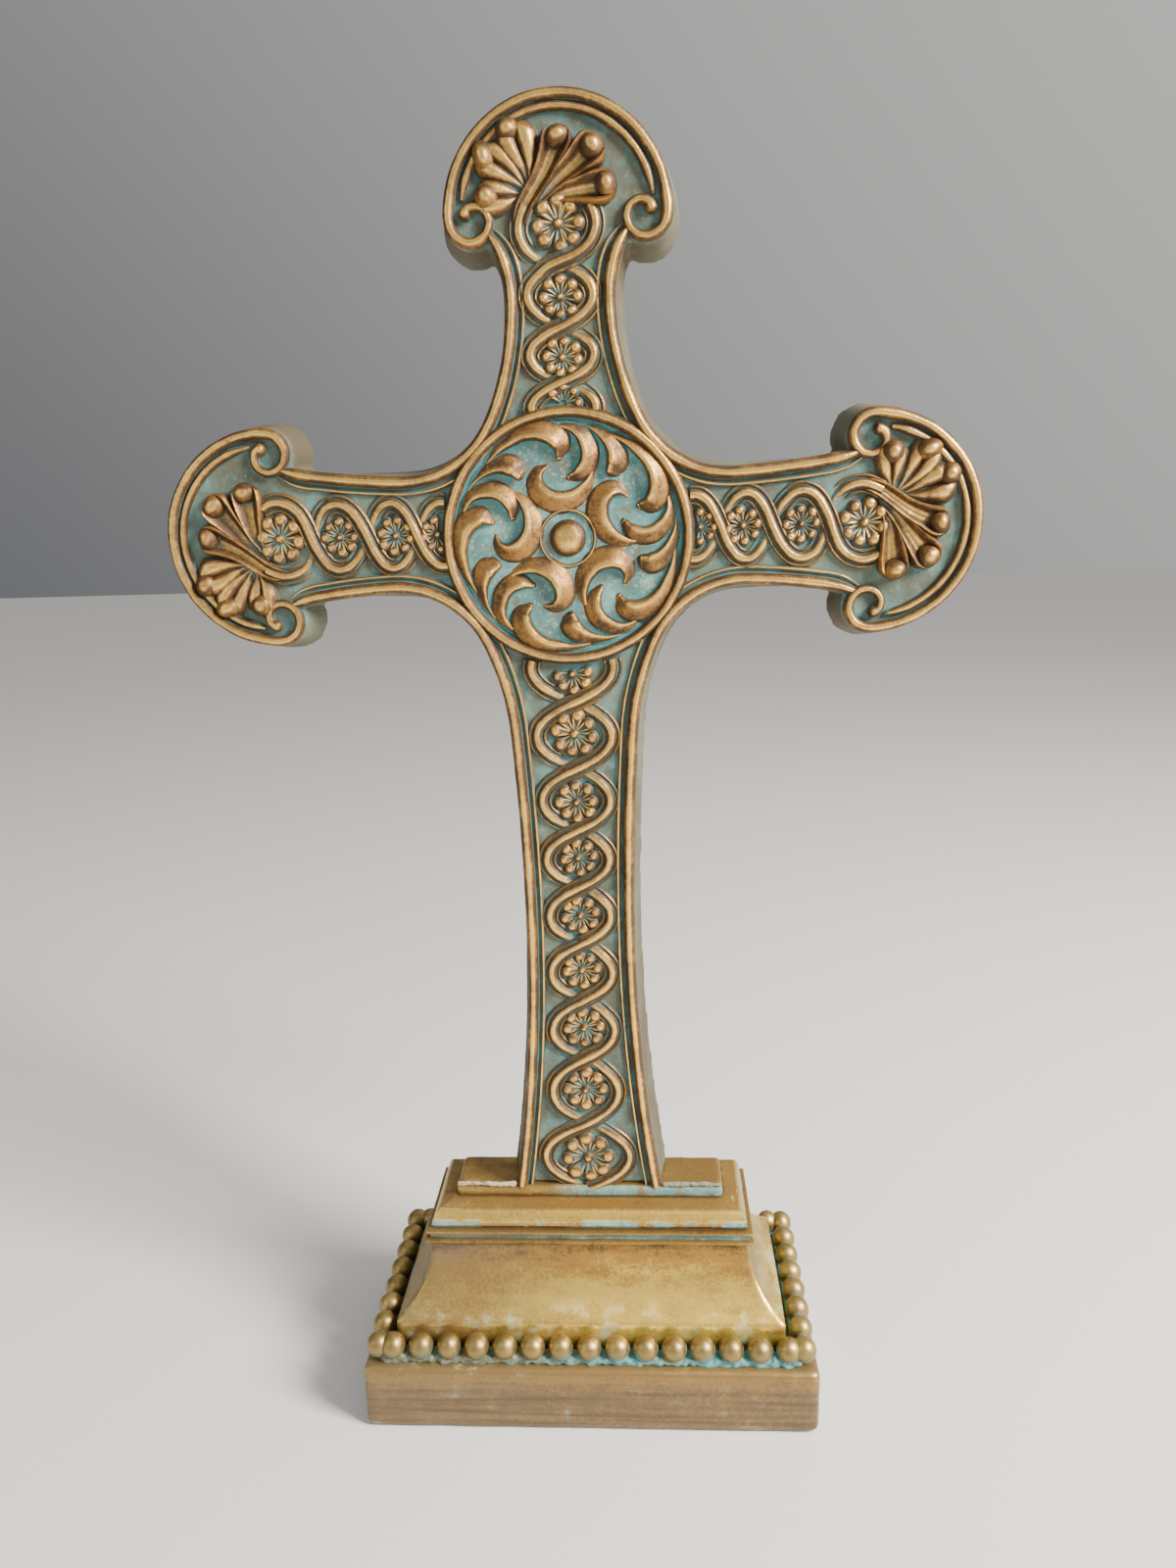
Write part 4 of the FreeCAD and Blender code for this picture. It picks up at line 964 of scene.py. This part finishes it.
def tiers(steps):
    """A block raised tier by tier. A step is (half width, half depth, height)."""
    (width, depth, low), (_, _, high) = steps[:2]
    piece = brick(0, 0, (low + high) / 2, width, depth, (high - low) / 2)
    bpy.ops.object.mode_set(mode="EDIT")
    bpy.ops.mesh.select_all(action="DESELECT")
    bpy.ops.object.mode_set(mode="OBJECT")
    for face in piece.data.polygons:
        face.select = face.normal.z > 0.9
    bpy.ops.object.mode_set(mode="EDIT")
    for (width, depth, low), (wider, deeper, high) in zip(steps[1:], steps[2:]):
        bpy.ops.mesh.extrude_region_move(TRANSFORM_OT_translate={"value": (0, 0, (high - low) * MM)})
        bpy.ops.transform.resize(value=(wider / width, deeper / depth, 1),
                                 center_override=(0, 0, high * MM))
    bpy.ops.object.mode_set(mode="OBJECT")
    return piece


def split_long_edges(piece, length, cuts):
    """Divides the long edges, so that a long straight moulding can waver a little."""
    for edge in piece.data.edges:
        ends = [piece.data.vertices[index].co for index in edge.vertices]
        edge.select = (ends[0] - ends[1]).length > length
    pick(piece)
    bpy.ops.object.mode_set(mode="EDIT")
    bpy.ops.mesh.select_mode(type="EDGE")
    bpy.ops.mesh.subdivide(number_cuts=cuts)
    bpy.ops.object.mode_set(mode="OBJECT")


SLAB = node_box("base_slab")[1]
COVE_FOOT, COVE_TOP, COVE_RADIUS = (9.8, 31.6), (20.4, 54.1), 25.8
CAP_FOOT, CAP_TOP = node_box("cap_moulding")[0][2], node_box("cap_moulding")[1][2]
CAP_INSET = SLAB[0] - node_box("cap_moulding")[1][0]
BLOCK = node_box("plinth_block")[1]


def step_in(inset, height):
    """A tier that stands back from the slab's sides."""
    return SLAB[0] - inset, SLAB[1] - inset, height


def build_plinth():
    """Slab, cove, cap, top block and the paste round the cross's foot."""
    low, high = node_box("base_slab")
    slab = tiers([step_in(0.15, low[2] + 0.15), step_in(0.15, high[2] - 0.15)])
    modified(slab, "BEVEL", width=0.0022, segments=4, limit_method="ANGLE")
    finished(recast(slab, 0.0009, grain=0.011, strength=0.0004), "base_slab_block", SLAB_PAINT,
             ["base_slab"])

    arc = edge_line([(-COVE_FOOT[0], COVE_FOOT[1], COVE_RADIUS, "left"),
                     (-COVE_TOP[0], COVE_TOP[1], 0, "")])
    steps = [step_in(COVE_FOOT[0], SLAB[2] - 0.2)] + [step_in(-x, y) for x, y in arc]
    cove = tiers(steps)
    modified(cove, "BEVEL", width=0.0006, segments=2, limit_method="ANGLE", angle_limit=math.radians(60))
    finished(recast(cove, 0.0009, grain=0.012, strength=0.0005), "base_cove_block", COVE_PAINT,
             ["base_cove"])

    steps = [(0, 0), (0, 0.7), (1.4, 1.1), (1.4, 2.9), (0.4, 3.1), (0.4, 3.8), (2.4, 4.1), (2.4, 5.0),
             (1.9, 5.3), (2.2, 6.6), (2.8, 7.9), (3.5, 9.0), (4.5, 9.8), (8.3, 11.1)]
    cap = tiers([step_in(CAP_INSET + inset, CAP_FOOT + rise) for inset, rise in steps])
    split_long_edges(cap, 0.02, 24)
    modified(cap, "BEVEL", width=0.0002, segments=2, limit_method="ANGLE", angle_limit=math.radians(25))
    finished(lumps(cap, grain=0.008, strength=0.0004), "cap_moulding_block", CAP_PAINT,
             ["cap_moulding"], crease=40)

    sides = (BLOCK[0] - 0.05, BLOCK[1] - 0.05)
    block = tiers([(*sides, CAP_TOP - 0.5), (*sides, BLOCK[2] - 0.1)])
    modified(block, "BEVEL", width=0.0009, segments=3, limit_method="ANGLE")
    finished(recast(block, 0.0007, grain=0.006, strength=0.0004), "plinth_block_top",
             BLOCK_PAINT, ["plinth_block"])
    finished(cast_copy("joint_filler", 0.0004, grain=0.0028, strength=0.0016),
             "joint_filler_paste", PASTE, ["joint_filler"])


BEAD_PITCH, BEAD_RADIUS, BEAD_HEIGHT = 8.94, 4.0, 26.5
FRONT_ROW, SIDE_ROW = 31.8, 67.4


def bead():
    """A pressed pearl, a little taller than it is wide."""
    bpy.ops.object.select_all(action="DESELECT")
    bpy.ops.mesh.primitive_uv_sphere_add(segments=24, ring_count=14, radius=BEAD_RADIUS * MM,
                                         scale=(1.0, 1.0, 1.04))
    return settle(bpy.context.object)


def rail(x, y, half_x, half_y):
    """The strip that a row of beads sits on."""
    strip = brick(x, y, SLAB[2] + 0.7, half_x, half_y, 1.5)
    modified(strip, "BEVEL", width=0.0009, segments=3, limit_method="ANGLE")
    return recast(strip, 0.0005, grain=0.0022, strength=0.0022)


def build_beads():
    """The four rows of pearls on their rails."""
    pearl = bead()
    chance = random.Random(5)
    front = [(BEAD_PITCH * step, 0.0) for step in range(-7, 8)] + [(-SIDE_ROW, -0.5), (SIDE_ROW, -0.5)]
    side = [BEAD_PITCH * (step + 0.5) for step in range(-3, 3)]
    rows = {
        "front": [(x, -FRONT_ROW - inset) for x, inset in front],
        "back": [(x, FRONT_ROW + inset) for x, inset in front],
        "left": [(-SIDE_ROW, y) for y in side],
        "right": [(SIDE_ROW, y) for y in side],
    }
    rails = {"front": (0, -FRONT_ROW, 66.5, 2.7), "back": (0, FRONT_ROW, 66.5, 2.7),
             "left": (-SIDE_ROW + 0.6, 0, 2.7, 28.5), "right": (SIDE_ROW - 0.6, 0, 2.7, 28.5)}
    for name, row in rows.items():
        parts = []
        for x, y in row:
            grow = [chance.uniform(0.95, 1.0) for _ in range(3)]
            place = Matrix.Translation((x * MM, y * MM, BEAD_HEIGHT * MM)) @ Matrix.Diagonal((*grow, 1))
            parts.append(copied(pearl, place))
        parts.append(rail(*rails[name]))
        finished(lumps(joined(parts), grain=0.004, strength=0.0002), f"bead_string_{name}_pearls", BEADS,
                 [f"bead_string_{name}"])
    bpy.data.objects.remove(pearl)


build_cross()
build_arms()
build_lobes()
build_plinth()
build_beads()
for leftover in [piece for piece in bpy.data.objects if piece.type == "CURVE"]:
    bpy.data.objects.remove(leftover)
for node, material in (("base_felt", FELT), ("tie_rod", STEEL), ("rod_washer", STEEL), ("rod_nut", STEEL)):
    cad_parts[node].data.materials.clear()
    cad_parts[node].data.materials.append(material)


# ---------- floor, light, camera

bpy.ops.object.select_all(action="DESELECT")
bpy.ops.mesh.primitive_plane_add(size=8, location=(0, 0, 0))
floor = bpy.context.object
floor.name = "floor"
floor_material, _, floor_shader = blank_material("pale_floor")
floor_shader.inputs["Base Color"].default_value = (0.80, 0.78, 0.75, 1.0)
floor_shader.inputs["Roughness"].default_value = 0.6
floor.data.materials.append(floor_material)

world = bpy.data.worlds.new("studio")
world.use_nodes = True
sky = world.node_tree
toward = parts_of(sky, make_node(sky, "TexCoord").outputs["Generated"])
side_light = total(sky, product(sky, toward["X"], 0.55), product(sky, toward["Z"], 0.45))
soft_box = blended(sky, ranged(sky, side_light, -0.5, 0.8), (0.16, 0.165, 0.175, 1.0),
                   (1.0, 0.98, 0.95, 1.0))
sky.links.new(soft_box, sky.nodes["Background"].inputs["Color"])
sky.nodes["Background"].inputs["Strength"].default_value = 0.75
bpy.context.scene.world = world


def lamp(name, place, target, size, power, tint):
    """A soft rectangular light."""
    light = bpy.data.lights.new(name, "AREA")
    light.shape = "RECTANGLE"
    light.size, light.size_y = size
    light.energy = power
    light.color = tint
    piece = bpy.data.objects.new(name, light)
    piece.location = place
    piece.rotation_euler = (Vector(target) - Vector(place)).to_track_quat("-Z", "Y").to_euler()
    bpy.context.collection.objects.link(piece)


lamp("window", (0.85, -0.42, 0.80), (0, 0, 0.22), (0.35, 0.45), 42, (1.0, 0.95, 0.88))
lamp("room", (-0.9, -0.7, 0.6), (0, 0, 0.2), (0.9, 0.9), 3.5, (0.92, 0.96, 1.0))

CAMERA_PLACE = (21.83, -322.2, 283.5)
YAW, PITCH, LEAN = 0.0579, 0.2471, -0.0300
LENS = 25.09
across = Vector((math.cos(YAW), math.sin(YAW), 0))
ahead = Vector((-math.sin(YAW) * math.cos(PITCH), math.cos(YAW) * math.cos(PITCH), -math.sin(PITCH)))
above = across.cross(ahead)
right = across * math.cos(LEAN) + above * math.sin(LEAN)
above = above * math.cos(LEAN) - across * math.sin(LEAN)
camera = bpy.data.objects.new("camera", bpy.data.cameras.new("camera"))
camera.data.lens = LENS
camera.matrix_world = Matrix.Translation(Vector(CAMERA_PLACE) * MM) @ Matrix(
    (right, above, -ahead)).transposed().to_4x4()
bpy.context.collection.objects.link(camera)
bpy.context.scene.camera = camera
